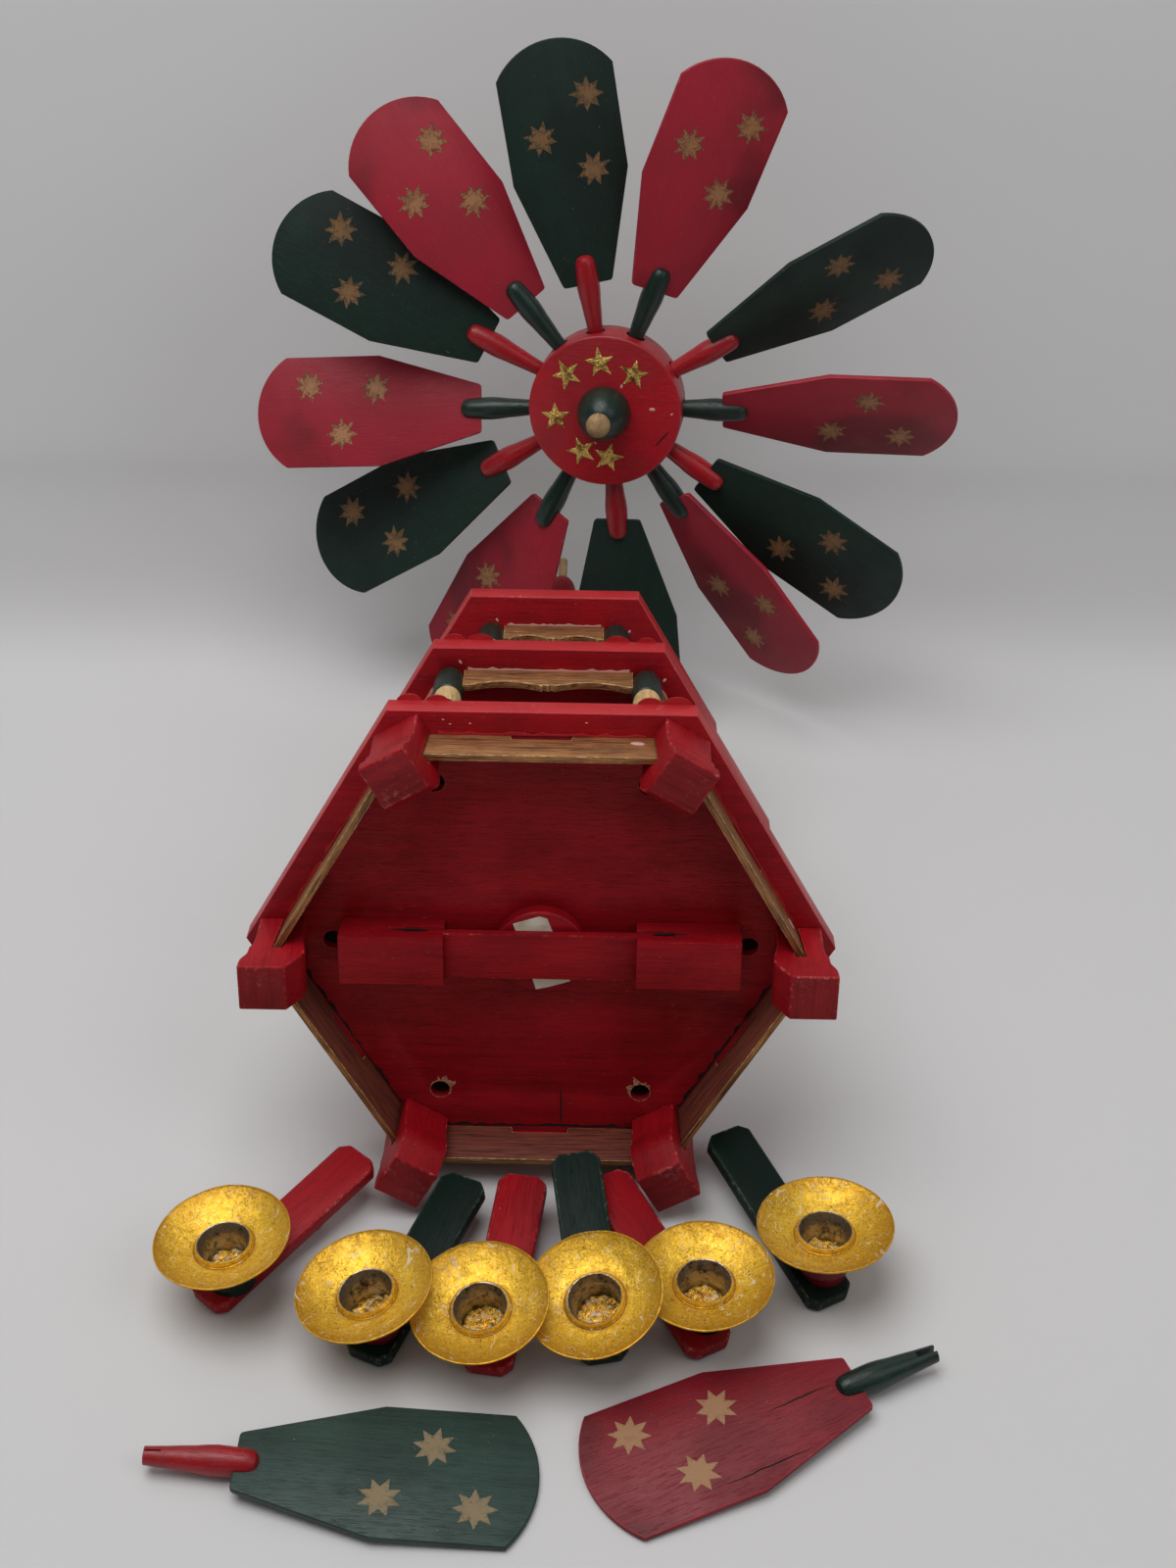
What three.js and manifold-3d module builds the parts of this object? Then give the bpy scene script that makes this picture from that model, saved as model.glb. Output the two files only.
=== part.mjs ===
// A wooden christmas pyramid, taken apart: the body lies on its side with its underside to the
// front, the rotor stands behind it on its blade tips, and six candle arms and two spare blades
// lie in front. Millimetres, +Z up, +X to the right, +Y away from the front.
import * as THREE from 'three';
import { mergeVertices } from 'three/addons/utils/BufferGeometryUtils.js';
import Module from 'manifold-3d';

const wasm = await Module();
wasm.setup();

// Clearances
const gap = 0.3;            // between glued or seated pieces
const holeGap = 0.35;       // around a pin in its hole, on the radius
const floorGap = 0.25;      // under what rests on the floor

// The three hexagonal decks
const deckThick = 8;
const storeyPitch = 80.5;
const baseCorner = 97.4;
const middleCorner = 80.8;
const topCorner = 64.8;

// Feet and rails under the base deck
const footLength = 30.5;
const footWidth = 16.2;
const footRadius = 84.6;
const footNeck = 7.5;
const footLobe = 9.4;
const footFlare = 11;
const footHeel = 4.2;
const railThick = 2.2;
const railHeight = 16.5;
const railOuter = 76.5;
const railLean = 4.5;
const railTongue = 3.4;
const railNotchDepth = 2.8;
const railNotchLength = 19;

// Bearing under the base deck
const blockLength = 34;
const blockWidth = 17.8;
const blockHeight = 12.7;
const blockInner = 31.5;
const slatWidth = 17;
const slatThick = 3;
const slatTongue = 12;
const plugRadius = 15.2;
const plugThick = 5.3;
const plugSpigotRadius = 8;
const plugSpigotLength = 5;
const cupGlassRadius = 4.6;
const cupGlassDepth = 4.5;
const cupGlassWall = 1.2;

// Pillars and fascia boards
const pillarRadius = 4.5;
const pillarFoot = 5.4;
const pillarBead = 5.6;
const pillarBeadFromTop = 22;
const pillarBeadLength = 9;
const pillarTenonRadius = 3.1;
const pillarTenonLength = 5;
const lowerPillarCircle = 68.5;
const upperPillarCircle = 48;
const fasciaThick = 2.5;
const fasciaHeight = 12.5;
const fasciaCentreHeight = 10.5;
const fasciaScallop = 3.2;
const fasciaInset = 1.5;

// Low pads glued on the deck tops
const padRadius = 5.5;
const padHeight = 2;
const padCornerInset = 17;
const pillarPadRadius = 4.2;
const pillarPadOut = 9.2;
const pillarPadTurn = 5.4;

// Blind holes in the base deck for the pegs of the arms
const armHoleCircle = 66;
const armHoleDepth = 6.5;

// Spindle and turntables
const spindleRadius = 3.7;
const spindlePinRadius = 1.6;
const spindlePinLength = 9;
const spindleBellStart = 292;
const spindleBellRadius = 6.2;
const spindleBellLength = 20;
const spindleTenonRadius = 2;
const spindleTenonLength = 27;
const deckBoreRadius = 5;
const turntableThick = 4;
const turntableLift = 7;
const turntableHubRadius = 8;
const turntableHubLength = 9;
const turntableRadii = [56, 40, 42];

// Rotor
const hubRadius = 31.5;
const hubThick = 18;
const hubEdge = 1.2;
const hubSocketRadius = 2.6;
const hubSocketDepth = 11;
const finialRadius = 11;
const finialHeight = 23;
const finialTipRadius = 4.9;
const finialWaist = 4.2;

// Blades and their pegs
const bladeLength = 95.4;
const spareLength = 91.5;
const bladeRootHalf = 10.2;
const bladeHalf = 23;
const bladeShoulder = 43;
const bladeCorner = 83;
const bladeThick = 2;
const pegExposed = 28;
const pegReach = hubRadius + pegExposed;
const pegInHub = 7;
const pegThinRadius = 2.8;
const pegBellyRadius = 4.7;
const pegEndRadius = 4;
const pegSplitWidth = 1;
const pegSplitLength = 7;

// Candle arms
const armLength = 72;
const armWidth = 16.5;
const armThick = 5;
const armChamfer = 3;
const armPegFromInner = 26;
const armPegRadius = 3.4;
const armPegLength = 7.7;
const armBlockFromOuter = 11.7;
const armBlockBottom = 7.6;
const armBlockTop = 10;
const armBlockHeight = 13;
const cupDishRadius = 22.2;
const cupDishRise = 5;
const cupWall = 0.9;
const cupSocketRadius = 8.3;
const cupBoreRadius = 7.25;
const cupBoreDepth = 13;
const cupRingLift = 1.2;

// Colours
const redPaint = new THREE.MeshStandardMaterial({ color: 0x96141f, roughness: 0.5 });
const greenPaint = new THREE.MeshStandardMaterial({ color: 0x243f38, roughness: 0.5 });
const bronzePaint = new THREE.MeshStandardMaterial({ color: 0x8a6440, roughness: 0.5, metalness: 0.3 });
const goldMetal = new THREE.MeshStandardMaterial({ color: 0xd7aa32, roughness: 0.35, metalness: 0.9 });
const clearGlass = new THREE.MeshStandardMaterial({ color: 0xdfe6e4, roughness: 0.1 });

const rad = THREE.MathUtils.degToRad;

// Solids in and out of the boolean library
function solid(geometry) {
  const g = geometry.clone();
  g.deleteAttribute('normal');
  g.deleteAttribute('uv');
  const merged = mergeVertices(g, 1e-4);
  return new wasm.Manifold(new wasm.Mesh({
    numProp: 3,
    vertProperties: new Float32Array(merged.attributes.position.array),
    triVerts: new Uint32Array(merged.index.array),
  }));
}

function joined(...pieces) {
  return pieces.reduce((a, b) => a.add(b));
}

function cutBy(piece, ...tools) {
  return tools.reduce((a, b) => a.subtract(b), piece);
}

function geometryOf(manifold) {
  const mesh = manifold.getMesh();
  const geometry = new THREE.BufferGeometry();
  geometry.setAttribute('position', new THREE.BufferAttribute(Float32Array.from(mesh.vertProperties), 3));
  geometry.setIndex(new THREE.BufferAttribute(Uint32Array.from(mesh.triVerts), 1));
  geometry.computeVertexNormals();
  return geometry;
}

function node(name, manifold, material) {
  const mesh = new THREE.Mesh(geometryOf(manifold), material);
  mesh.name = name;
  return mesh;
}

// Plain shapes
function box(x0, x1, y0, y1, z0, z1) {
  const g = new THREE.BoxGeometry(x1 - x0, y1 - y0, z1 - z0);
  return solid(g.translate((x0 + x1) / 2, (y0 + y1) / 2, (z0 + z1) / 2));
}

// A turned piece: pairs of radius and height, from the axis round to the axis
function turned(profile, sides) {
  const points = profile.map(([r, z]) => new THREE.Vector2(r, z));
  const g = new THREE.LatheGeometry(points, sides);
  return solid(g.rotateX(Math.PI / 2));
}

function rod(radius, z0, z1, sides) {
  return turned([[0, z0], [radius, z0], [radius, z1], [0, z1]], sides);
}

// A board: an outline in X and Y, from z0 up to z1
function board(outline, z0, z1) {
  const shape = new THREE.Shape(outline.map(([x, y]) => new THREE.Vector2(x, y)));
  const g = new THREE.ExtrudeGeometry(shape, { depth: z1 - z0, bevelEnabled: false });
  return solid(g.translate(0, 0, z0));
}

function hexagon(corner) {
  const points = [];
  for (let i = 0; i < 6; i += 1) {
    points.push([corner * Math.cos(rad(60 * i)), corner * Math.sin(rad(60 * i))]);
  }
  return points;
}

function flat(corner) {
  return corner * Math.cos(rad(30));
}

function moved(manifold, matrix) {
  const e = matrix.elements;
  return manifold.transform([...e]);
}

function placed(manifold, x, y, z, turn = 0) {
  const m = new THREE.Matrix4().makeTranslation(x, y, z);
  m.multiply(new THREE.Matrix4().makeRotationZ(rad(turn)));
  return moved(manifold, m);
}

function polar(manifold, radius, angle, z) {
  return placed(manifold, radius * Math.cos(rad(angle)), radius * Math.sin(rad(angle)), z, angle);
}

// Decks, with a bore for the spindle, mortises for pillars and low pads
function pads(corner, pillarCircle, z) {
  const dome = (radius) => turned([[0, -1], [radius, -1], [radius, 0.4 * padHeight],
    [0.62 * radius, 0.85 * padHeight], [0, padHeight]], 8);
  const made = [];
  for (let i = 0; i < 6; i += 1) {
    const side = i % 2 === 0 ? -1 : 1;
    made.push(polar(dome(padRadius), corner - padCornerInset, 60 * i, z));
    made.push(polar(dome(pillarPadRadius), pillarCircle + pillarPadOut, 60 * i + side * pillarPadTurn, z));
  }
  return made;
}

function deckPlate(corner) {
  return cutBy(board(hexagon(corner), 0, deckThick), rod(deckBoreRadius, -1, deckThick + 1, 16));
}

// The scalloped board hung under a deck between two pillars: two arcs that meet at a bracket
function fascia(pillarCircle, deckZ) {
  const half = pillarCircle / 2 - pillarRadius - gap;
  const outline = [[-half, 0.5], [-half, -fasciaHeight]];
  const steps = 5;
  for (const side of [-1, 1]) {
    for (let i = 1; i < steps; i += 1) {
      const t = i / steps;
      const x = side < 0 ? -half + 3 + t * (half - 4) : 1 + t * (half - 4);
      outline.push([x, -fasciaHeight + fasciaScallop * Math.sin(Math.PI * t)]);
    }
    if (side < 0) {
      outline.push([-1.5, -fasciaCentreHeight - 1], [0, -fasciaHeight], [1.5, -fasciaCentreHeight - 1]);
    }
  }
  outline.push([half, -fasciaHeight], [half, 0.5]);
  const shape = new THREE.Shape(outline.map(([x, y]) => new THREE.Vector2(x, y)));
  const g = new THREE.ExtrudeGeometry(shape, { depth: fasciaThick, bevelEnabled: false });
  g.rotateX(Math.PI / 2).rotateZ(Math.PI / 2);
  return placed(solid(g), flat(pillarCircle) + fasciaInset - fasciaThick / 2, 0, deckZ);
}

function fascias(pillarCircle, deckZ) {
  const made = [];
  for (let i = 0; i < 6; i += 1) {
    const turn = new THREE.Matrix4().makeRotationZ(rad(60 * i + 30));
    made.push(moved(fascia(pillarCircle, deckZ), turn));
  }
  return made;
}

// A turned pillar between two decks: a small foot below, a bead near the top
function pillar(z0, z1, tenonLow, tenonHigh) {
  const bead = z1 - pillarBeadFromTop;
  const half = pillarBeadLength / 2;
  const profile = [[0, z0 - tenonLow], [pillarTenonRadius, z0 - tenonLow], [pillarTenonRadius, z0],
    [pillarFoot, z0], [pillarFoot, z0 + 2], [pillarRadius, z0 + 5],
    [pillarRadius, bead - half], [pillarBead, bead - 0.4 * half], [pillarBead, bead + 0.4 * half],
    [pillarRadius, bead + half], [pillarRadius, z1]];
  if (tenonHigh > 0) {
    profile.push([pillarTenonRadius, z1], [pillarTenonRadius, z1 + tenonHigh]);
  }
  profile.push([0, z1 + tenonHigh]);
  return turned(profile, 10);
}

function aroundCorners(make) {
  return Array.from({ length: 6 }, (_, i) => make(i, 60 * i));
}

function baseDeck() {
  const mortise = rod(pillarTenonRadius + holeGap, -1, deckThick + 1, 12);
  const armHole = rod(armPegRadius + holeGap, deckThick - armHoleDepth, deckThick + 1, 12);
  const plugHole = rod(plugSpigotRadius + holeGap, -1, plugSpigotLength + gap, 20);
  return cutBy(
    joined(deckPlate(baseCorner), ...pads(baseCorner, lowerPillarCircle, deckThick)),
    plugHole,
    ...aroundCorners((i, a) => polar(mortise, lowerPillarCircle, a, 0)),
    ...aroundCorners((i, a) => polar(armHole, armHoleCircle, a + 30, 0)),
  );
}

function middleDeck() {
  const z = storeyPitch;
  const mortise = rod(pillarTenonRadius + holeGap, -1, pillarTenonLength + gap, 12);
  const upper = rod(pillarTenonRadius + holeGap, deckThick - pillarTenonLength - gap, deckThick + 1, 12);
  const plate = cutBy(
    joined(deckPlate(middleCorner), ...pads(middleCorner, upperPillarCircle, deckThick)),
    ...aroundCorners((i, a) => polar(mortise, lowerPillarCircle, a, 0)),
    ...aroundCorners((i, a) => polar(upper, upperPillarCircle, a, 0)),
  );
  return joined(placed(plate, 0, 0, z), ...fascias(lowerPillarCircle, z));
}

// The top deck is glued up with its six pillars and fascias as one unit
function topDeck() {
  const z = 2 * storeyPitch;
  const foot = storeyPitch + deckThick + gap;
  const plate = joined(deckPlate(topCorner), ...pads(topCorner, upperPillarCircle - 4, deckThick));
  const post = pillar(foot, z + 0.5, pillarTenonLength, 0);
  return joined(
    placed(plate, 0, 0, z),
    ...fascias(upperPillarCircle, z),
    ...aroundCorners((i, a) => polar(post, upperPillarCircle, a, 0)),
  );
}

// The slot in a foot that takes the end of a rail, in the frame of that rail
function railSlot(cornerAngle, side) {
  const inner = railOuter - railThick;
  const start = footRadius * Math.sin(rad(30)) - footWidth;
  const end = railEnd() + gap;
  const slot = box(inner - gap, railOuter + gap, start, end, -railHeight - 1.5, 1);
  const turn = cornerAngle - side * 30;
  const mirrored = side > 0 ? slot : moved(slot, new THREE.Matrix4().makeScale(1, -1, 1));
  return placed(leaned(mirrored), 0, 0, 0, turn);
}

// Rails lean outwards towards the floor, about their outer edge at the deck
function leaned(manifold) {
  const lean = new THREE.Matrix4().makeTranslation(railOuter, 0, 0);
  lean.multiply(new THREE.Matrix4().makeRotationY(rad(-railLean)));
  return moved(manifold, lean.multiply(new THREE.Matrix4().makeTranslation(-railOuter, 0, 0)));
}

function railEnd() {
  const middle = railOuter - railThick / 2;
  const face = (middle * Math.sin(rad(30)) - footWidth / 2) / Math.cos(rad(30));
  return face + railTongue;
}

// A shaped foot block: narrow at the deck, a lobe on its inner side, flared outwards at the floor
function foot(cornerAngle) {
  const l = -footLength;
  const outline = [
    [-footNeck, -gap], [-footNeck - 0.3, 0.36 * l], [-footNeck - 1.6, 0.48 * l],
    [-footLobe + 0.4, 0.56 * l], [-footLobe, 0.66 * l], [-footLobe + 0.7, 0.76 * l],
    [-footHeel - 2.6, 0.86 * l], [-footHeel, l],
    [footFlare, l], [footFlare - 0.3, 0.84 * l], [footFlare - 2, 0.72 * l],
    [footNeck + 1.2, 0.6 * l], [footNeck, 0.46 * l], [footNeck, -gap],
  ];
  const shape = new THREE.Shape(outline.map(([x, y]) => new THREE.Vector2(x, y)));
  const g = new THREE.ExtrudeGeometry(shape, { depth: footWidth, bevelEnabled: false });
  g.translate(0, 0, -footWidth / 2).rotateX(Math.PI / 2);
  const block = polar(solid(g), footRadius, cornerAngle, 0);
  return cutBy(block, railSlot(cornerAngle, 1), railSlot(cornerAngle, -1));
}

function rail(turn) {
  const inner = railOuter - railThick;
  const end = railEnd();
  const half = railNotchLength / 2;
  const notch = box(inner - 1, railOuter + 1, -half, half, -railNotchDepth - gap, 1);
  const whole = box(inner, railOuter, -end, end, -railHeight - gap, -gap);
  return placed(leaned(cutBy(whole, notch)), 0, 0, 0, turn);
}

// The bearing: a plug under the deck, a glass cup in it, and a slat that presses on it
function bearingPlug() {
  const top = plugSpigotLength;
  const bore = rod(cupGlassRadius + holeGap, top - cupGlassDepth - gap, top + 1, 16);
  const disc = rod(plugRadius, -plugThick - gap, -gap, 24);
  return cutBy(joined(disc, rod(plugSpigotRadius, -1, top, 20)), bore);
}

function bearingCup() {
  const top = plugSpigotLength;
  const floor = top - cupGlassDepth;
  const inside = cupGlassRadius - cupGlassWall;
  return turned([[0, floor], [cupGlassRadius, floor], [cupGlassRadius, top], [inside, top],
    [0.8 * inside, floor + 2.4], [0, floor + 1.2]], 14);
}

function slatPlane() {
  const top = -plugThick - 2 * gap;
  return { top, bottom: top - slatThick };
}

function slat() {
  const reach = blockInner + slatTongue;
  const { top, bottom } = slatPlane();
  return box(-reach, reach, -slatWidth / 2, slatWidth / 2, bottom, top);
}

function slatBlock(side) {
  const { top, bottom } = slatPlane();
  const half = blockWidth / 2;
  const block = box(blockInner, blockInner + blockLength, -half, half, -blockHeight, -gap);
  const reach = blockInner + slatTongue + gap;
  const slot = box(blockInner - 1, reach, -blockWidth, blockWidth, bottom - gap, top + gap);
  const sawRun = box(reach - 4, reach + 5.5, slatWidth / 2 + gap, blockWidth, bottom, top);
  const made = cutBy(block, slot, sawRun);
  return side > 0 ? made : moved(made, new THREE.Matrix4().makeRotationZ(Math.PI));
}

// Spindle: a dowel with a thin steel-shod pin below and a turned bell and tenon above
function spindle() {
  const floor = plugSpigotLength - cupGlassDepth + 1.2 + gap;
  const bell = spindleBellStart;
  const rim = bell + spindleBellLength;
  return turned([[0, floor], [spindlePinRadius, floor + 1], [spindlePinRadius, floor + spindlePinLength],
    [spindleRadius, floor + spindlePinLength + 3], [spindleRadius, bell],
    [spindleBellRadius - 1, bell + 3], [spindleBellRadius, bell + 7],
    [spindleBellRadius - 0.8, rim - 5], [spindleTenonRadius + 1.2, rim], [spindleTenonRadius, rim + 0.5],
    [spindleTenonRadius, rim + spindleTenonLength - 1], [0, rim + spindleTenonLength]], 14);
}

function turntable(storey) {
  const z = storey * storeyPitch + deckThick + turntableLift;
  const radius = turntableRadii[storey];
  const bore = spindleRadius + gap;
  const top = z + turntableHubLength;
  return turned([[bore, z], [radius - 0.6, z], [radius, z + 0.6], [radius, z + turntableThick - 0.6],
    [radius - 0.6, z + turntableThick], [turntableHubRadius, z + turntableThick],
    [turntableHubRadius - 1, top], [bore, top], [bore, z]], 24);
}

// The outline of a blade whose root lies at x = root
function bladeOutline(root, length) {
  const points = [[root + 1.5, -bladeRootHalf], [root, -bladeRootHalf + 1.5], [root, bladeRootHalf - 1.5],
    [root + 1.5, bladeRootHalf], [root + bladeShoulder, bladeHalf], [root + bladeCorner, bladeHalf]];
  const rise = length - bladeCorner;
  const arc = (bladeHalf ** 2 + rise ** 2) / (2 * rise);
  const centre = root + length - arc;
  const sweep = Math.asin(bladeHalf / arc);
  const steps = 8;
  for (let i = 1; i < steps; i += 1) {
    const a = sweep * (1 - 2 * i / steps);
    points.push([centre + arc * Math.cos(a), arc * Math.sin(a)]);
  }
  points.push([root + bladeCorner, -bladeHalf], [root + bladeShoulder, -bladeHalf]);
  return points.reverse();
}

// A turned peg along +X that ends at x = pegReach
function bladePeg() {
  const start = pegReach - pegExposed - pegInHub;
  const profile = [[0, start], [pegThinRadius, start + 0.2], [pegThinRadius + 0.5, start + pegInHub],
    [pegBellyRadius - 0.6, start + pegInHub + 9], [pegBellyRadius, start + pegInHub + 14],
    [pegEndRadius + 0.2, pegReach - 4], [pegEndRadius - 0.3, pegReach - 1.6],
    [pegEndRadius - 1.8, pegReach - 0.3], [0, pegReach]];
  return moved(turned(profile, 8), new THREE.Matrix4().makeRotationY(Math.PI / 2));
}

// A blade with its peg, in the frame of the hub: the hub's centre at the origin, the blade along +X
function blade(overlap, length, split) {
  const outline = bladeOutline(pegReach - overlap, length);
  const plate = board(outline, -bladeThick / 2, bladeThick / 2);
  const whole = joined(plate, bladePeg());
  if (!split) {
    return whole;
  }
  const start = pegReach - pegExposed - pegInHub;
  const half = pegSplitWidth / 2;
  return cutBy(whole, box(start - 1, start + pegSplitLength, -pegBellyRadius, pegBellyRadius, -half, half));
}

// How each blade stands in the hub: its direction, its pitch, its lean to the front, how far its peg
// is pulled out, and how far the peg overlaps the blade
const bladeStands = [
  { direction: 101.2, pitch: 18, lean: 1, pulled: 3.4, overlap: 12 },
  { direction: 71, pitch: 20, lean: -1.5, pulled: 2, overlap: 10.2 },
  { direction: 32, pitch: 37, lean: -3.5, pulled: 1.2, overlap: 10 },
  { direction: 2, pitch: 32, lean: -1.5, pulled: -1.5, overlap: 10.5 },
  { direction: 329, pitch: 21, lean: 1, pulled: -1.5, overlap: 8.5 },
  { direction: 308, pitch: 38, lean: -1.5, pulled: -1.8, overlap: 9.5 },
  { direction: 277.3, pitch: 10, lean: 0.5, pulled: -1.6, overlap: 8.5 },
  { direction: 244.4, pitch: 22, lean: -3, pulled: 2.4, overlap: 9.5 },
  { direction: 213.1, pitch: 26, lean: -2.5, pulled: 3, overlap: 10 },
  { direction: 185.7, pitch: 26, lean: 1.5, pulled: 1.8, overlap: 8.5 },
  { direction: 154.2, pitch: 14, lean: 3, pulled: 5.2, overlap: 9.7 },
  { direction: 131, pitch: 22, lean: 1.5, pulled: 4.2, overlap: 10.8 },
];

function bladeGroup({ direction, pitch, lean, pulled }) {
  const group = new THREE.Group();
  group.rotation.set(rad(pitch), rad(-lean), rad(direction), 'ZYX');
  group.position.set(1, 0, 0).applyEuler(group.rotation).multiplyScalar(pulled);
  group.updateMatrix();
  return group;
}

function rotorHub() {
  const half = hubThick / 2;
  const disc = turned([[0, -half], [hubRadius - hubEdge, -half], [hubRadius, -half + hubEdge],
    [hubRadius, half - hubEdge], [hubRadius - hubEdge, half], [0, half]], 32);
  const socket = rod(hubSocketRadius, -half - 1, -half + hubSocketDepth, 12);
  const depth = pegReach - pegExposed - pegInHub - 2.5;
  const hole = moved(rod(pegThinRadius + 0.5 + holeGap + 0.35, depth, hubRadius + 6, 10),
    new THREE.Matrix4().makeRotationY(Math.PI / 2));
  const holes = bladeStands.map((stand) => {
    const group = bladeGroup(stand);
    return moved(hole, new THREE.Matrix4().makeRotationFromEuler(group.rotation));
  });
  return cutBy(disc, socket, ...holes);
}

function rotorFinial() {
  const z = hubThick / 2 + gap;
  const ball = z + finialHeight - finialTipRadius;
  const profile = [[0, z], [finialRadius - 0.5, z]];
  const steps = 6;
  for (let i = 0; i <= steps; i += 1) {
    const a = rad(78) * i / steps;
    profile.push([finialRadius * Math.cos(a), z + 1 + (ball - z - 4) * Math.sin(a)]);
  }
  profile.push([finialWaist - 1, ball - 2.6]);
  for (let i = 0; i < steps; i += 1) {
    const a = rad(-28 + 112 * i / (steps - 1));
    profile.push([finialTipRadius * Math.cos(a), ball + finialTipRadius * Math.sin(a)]);
  }
  profile.push([0, z + finialHeight]);
  return turned(profile, 16);
}

// The drip dish stands this high in the cup's own frame
const cupRing = cupBoreDepth + cupWall;
const cupDish = cupRing - cupRingLift - cupWall;
const cupRim = cupDish + cupDishRise;
const cupSeatDepth = cupDish - cupWall;

// The frame of the turned block on the bar, glued a little off its middle and leaning a little
function blockFrame(aside, axis) {
  const turn = new THREE.Quaternion().setFromUnitVectors(new THREE.Vector3(0, 0, 1), axis);
  const frame = new THREE.Matrix4().makeTranslation(armLength - armBlockFromOuter, aside, armThick);
  return frame.multiply(new THREE.Matrix4().makeRotationFromQuaternion(turn));
}

// A candle arm in its own frame: the bar lies along +X from its inner end, its underside at z = 0
function arm(block) {
  const h = armWidth / 2;
  const c = armChamfer;
  const bar = board([[c, -h], [armLength - c, -h], [armLength, -h + c], [armLength, h - c],
    [armLength - c, h], [c, h], [0, h - c], [0, -h + c]], 0, armThick);
  const peg = placed(turned([[0, -armPegLength], [armPegRadius - 0.5, -armPegLength],
    [armPegRadius, -armPegLength + 0.8], [armPegRadius, 1], [0, 1]], 10), armPegFromInner, 0, 0);
  const top = armBlockHeight;
  const bore = cupSocketRadius + holeGap;
  const seat = turned([[0, -2], [armBlockBottom, -2], [armBlockBottom + 0.2, 0.2 * top],
    [armBlockTop, 0.75 * top], [armBlockTop, top - 0.5], [armBlockTop - 0.5, top],
    [bore, top], [bore, top - cupSeatDepth], [0, top - cupSeatDepth]], 16);
  const seated = joined(bar, moved(seat, block), peg);
  return cutBy(seated, box(0, armLength, -armWidth, armWidth, -armThick, 0).subtract(peg));
}

// The hammered drip dish with its candle socket, standing on the origin
function candleCup() {
  const w = cupWall;
  const r = cupSocketRadius;
  return turned([[0, 0], [r - 1, 0], [r, 1], [r, cupDish - w], [cupDishRadius - 3, cupRim - w - 0.6],
    [cupDishRadius, cupRim - 0.5], [cupDishRadius - 0.2, cupRim], [cupDishRadius - 3, cupRim - 0.6],
    [r, cupDish + 0.2], [r, cupRing - 0.3], [r - 0.4, cupRing], [cupBoreRadius, cupRing - 0.2],
    [cupBoreRadius, w], [0, w]], 20);
}

// How each arm lies: the middle of its dish in plan, the way its dish faces in plan, the direction and
// roll of its bar, how far its block is glued off the bar's middle, and how far the inner end is raised
// where the bar lies on its neighbour
const armLies = [
  { x: -114.8, y: 464.8, faces: [-0.11, 0.03], direction: -131.5, roll: 1, aside: 2, raised: 0 },
  { x: -67.9, y: 446.1, faces: [-0.2, -0.01], direction: -114.7, roll: 1, aside: -0.8, raised: 0 },
  { x: -31.6, y: 440.4, faces: [-0.12, -0.12], direction: -98.1, roll: 0, aside: -1.5, raised: 0 },
  { x: 3.8, y: 442.6, faces: [-0.19, -0.19], direction: -81.2, roll: 5, aside: 1.3, raised: 9 },
  { x: 38.8, y: 451.9, faces: [-0.03, 0.01], direction: -60.3, roll: -3, aside: 2.9, raised: 0 },
  { x: 78.6, y: 473.8, faces: [-0.03, 0.09], direction: -61.8, roll: 0, aside: 2.9, raised: 0 },
];

// The spare blades lie on their tips and on the ends of their pegs
const spareOverlap = 7.5;
const spareLies = [
  { x: -102.9, y: 395.7, direction: -2, paint: 'green' },
  { x: 86.9, y: 427.7, direction: -156.6, paint: 'red' },
];

// The body, upright in its own frame: +Z up the spindle, the base deck's underside at z = 0
function bodyGroup() {
  const group = new THREE.Group();
  group.add(node('base_deck', baseDeck(), redPaint));
  aroundCorners((i, a) => group.add(node(`foot_${i + 1}`, foot(a), redPaint)));
  aroundCorners((i, a) => group.add(node(`base_rail_${i + 1}`, rail(a + 30), bronzePaint)));
  group.add(node('bearing_slat', slat(), redPaint));
  group.add(node('slat_block_right', slatBlock(1), redPaint));
  group.add(node('slat_block_left', slatBlock(-1), redPaint));
  group.add(node('bearing_plug', bearingPlug(), redPaint));
  group.add(node('bearing_cup', bearingCup(), clearGlass));
  const post = pillar(deckThick + gap, storeyPitch - gap, pillarTenonLength, pillarTenonLength);
  aroundCorners((i, a) => {
    const made = polar(post, lowerPillarCircle, a, 0);
    group.add(node(`lower_pillar_${i + 1}`, made, greenPaint));
  });
  group.add(node('middle_deck', middleDeck(), redPaint));
  group.add(node('top_deck', topDeck(), redPaint));
  group.add(node('spindle', spindle(), redPaint));
  for (let storey = 0; storey < 3; storey += 1) {
    group.add(node(`turntable_${storey + 1}`, turntable(storey), redPaint));
  }
  return group;
}

// The body rests on the lower edges of its base deck and its top deck
const bodyDip = Math.atan((flat(baseCorner) - flat(topCorner)) / (2 * storeyPitch));
const bodyAxisHeight = flat(baseCorner) * Math.cos(bodyDip) + deckThick * Math.sin(bodyDip) + floorGap;
const bodyPlace = new THREE.Vector3(-14.8, 541.3, bodyAxisHeight);
const bodyYaw = -0.3;

function laidBody() {
  const group = bodyGroup();
  group.position.copy(bodyPlace);
  group.rotation.set(-Math.PI / 2 - bodyDip, 0, rad(bodyYaw), 'ZYX');
  return group;
}

// The rotor stands on its two lowest blade tips and leans back
const rotorPlace = new THREE.Vector3(5.71, 810.95, 141.23);
const rotorLean = 10.4;
const rotorYaw = -8;

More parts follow.
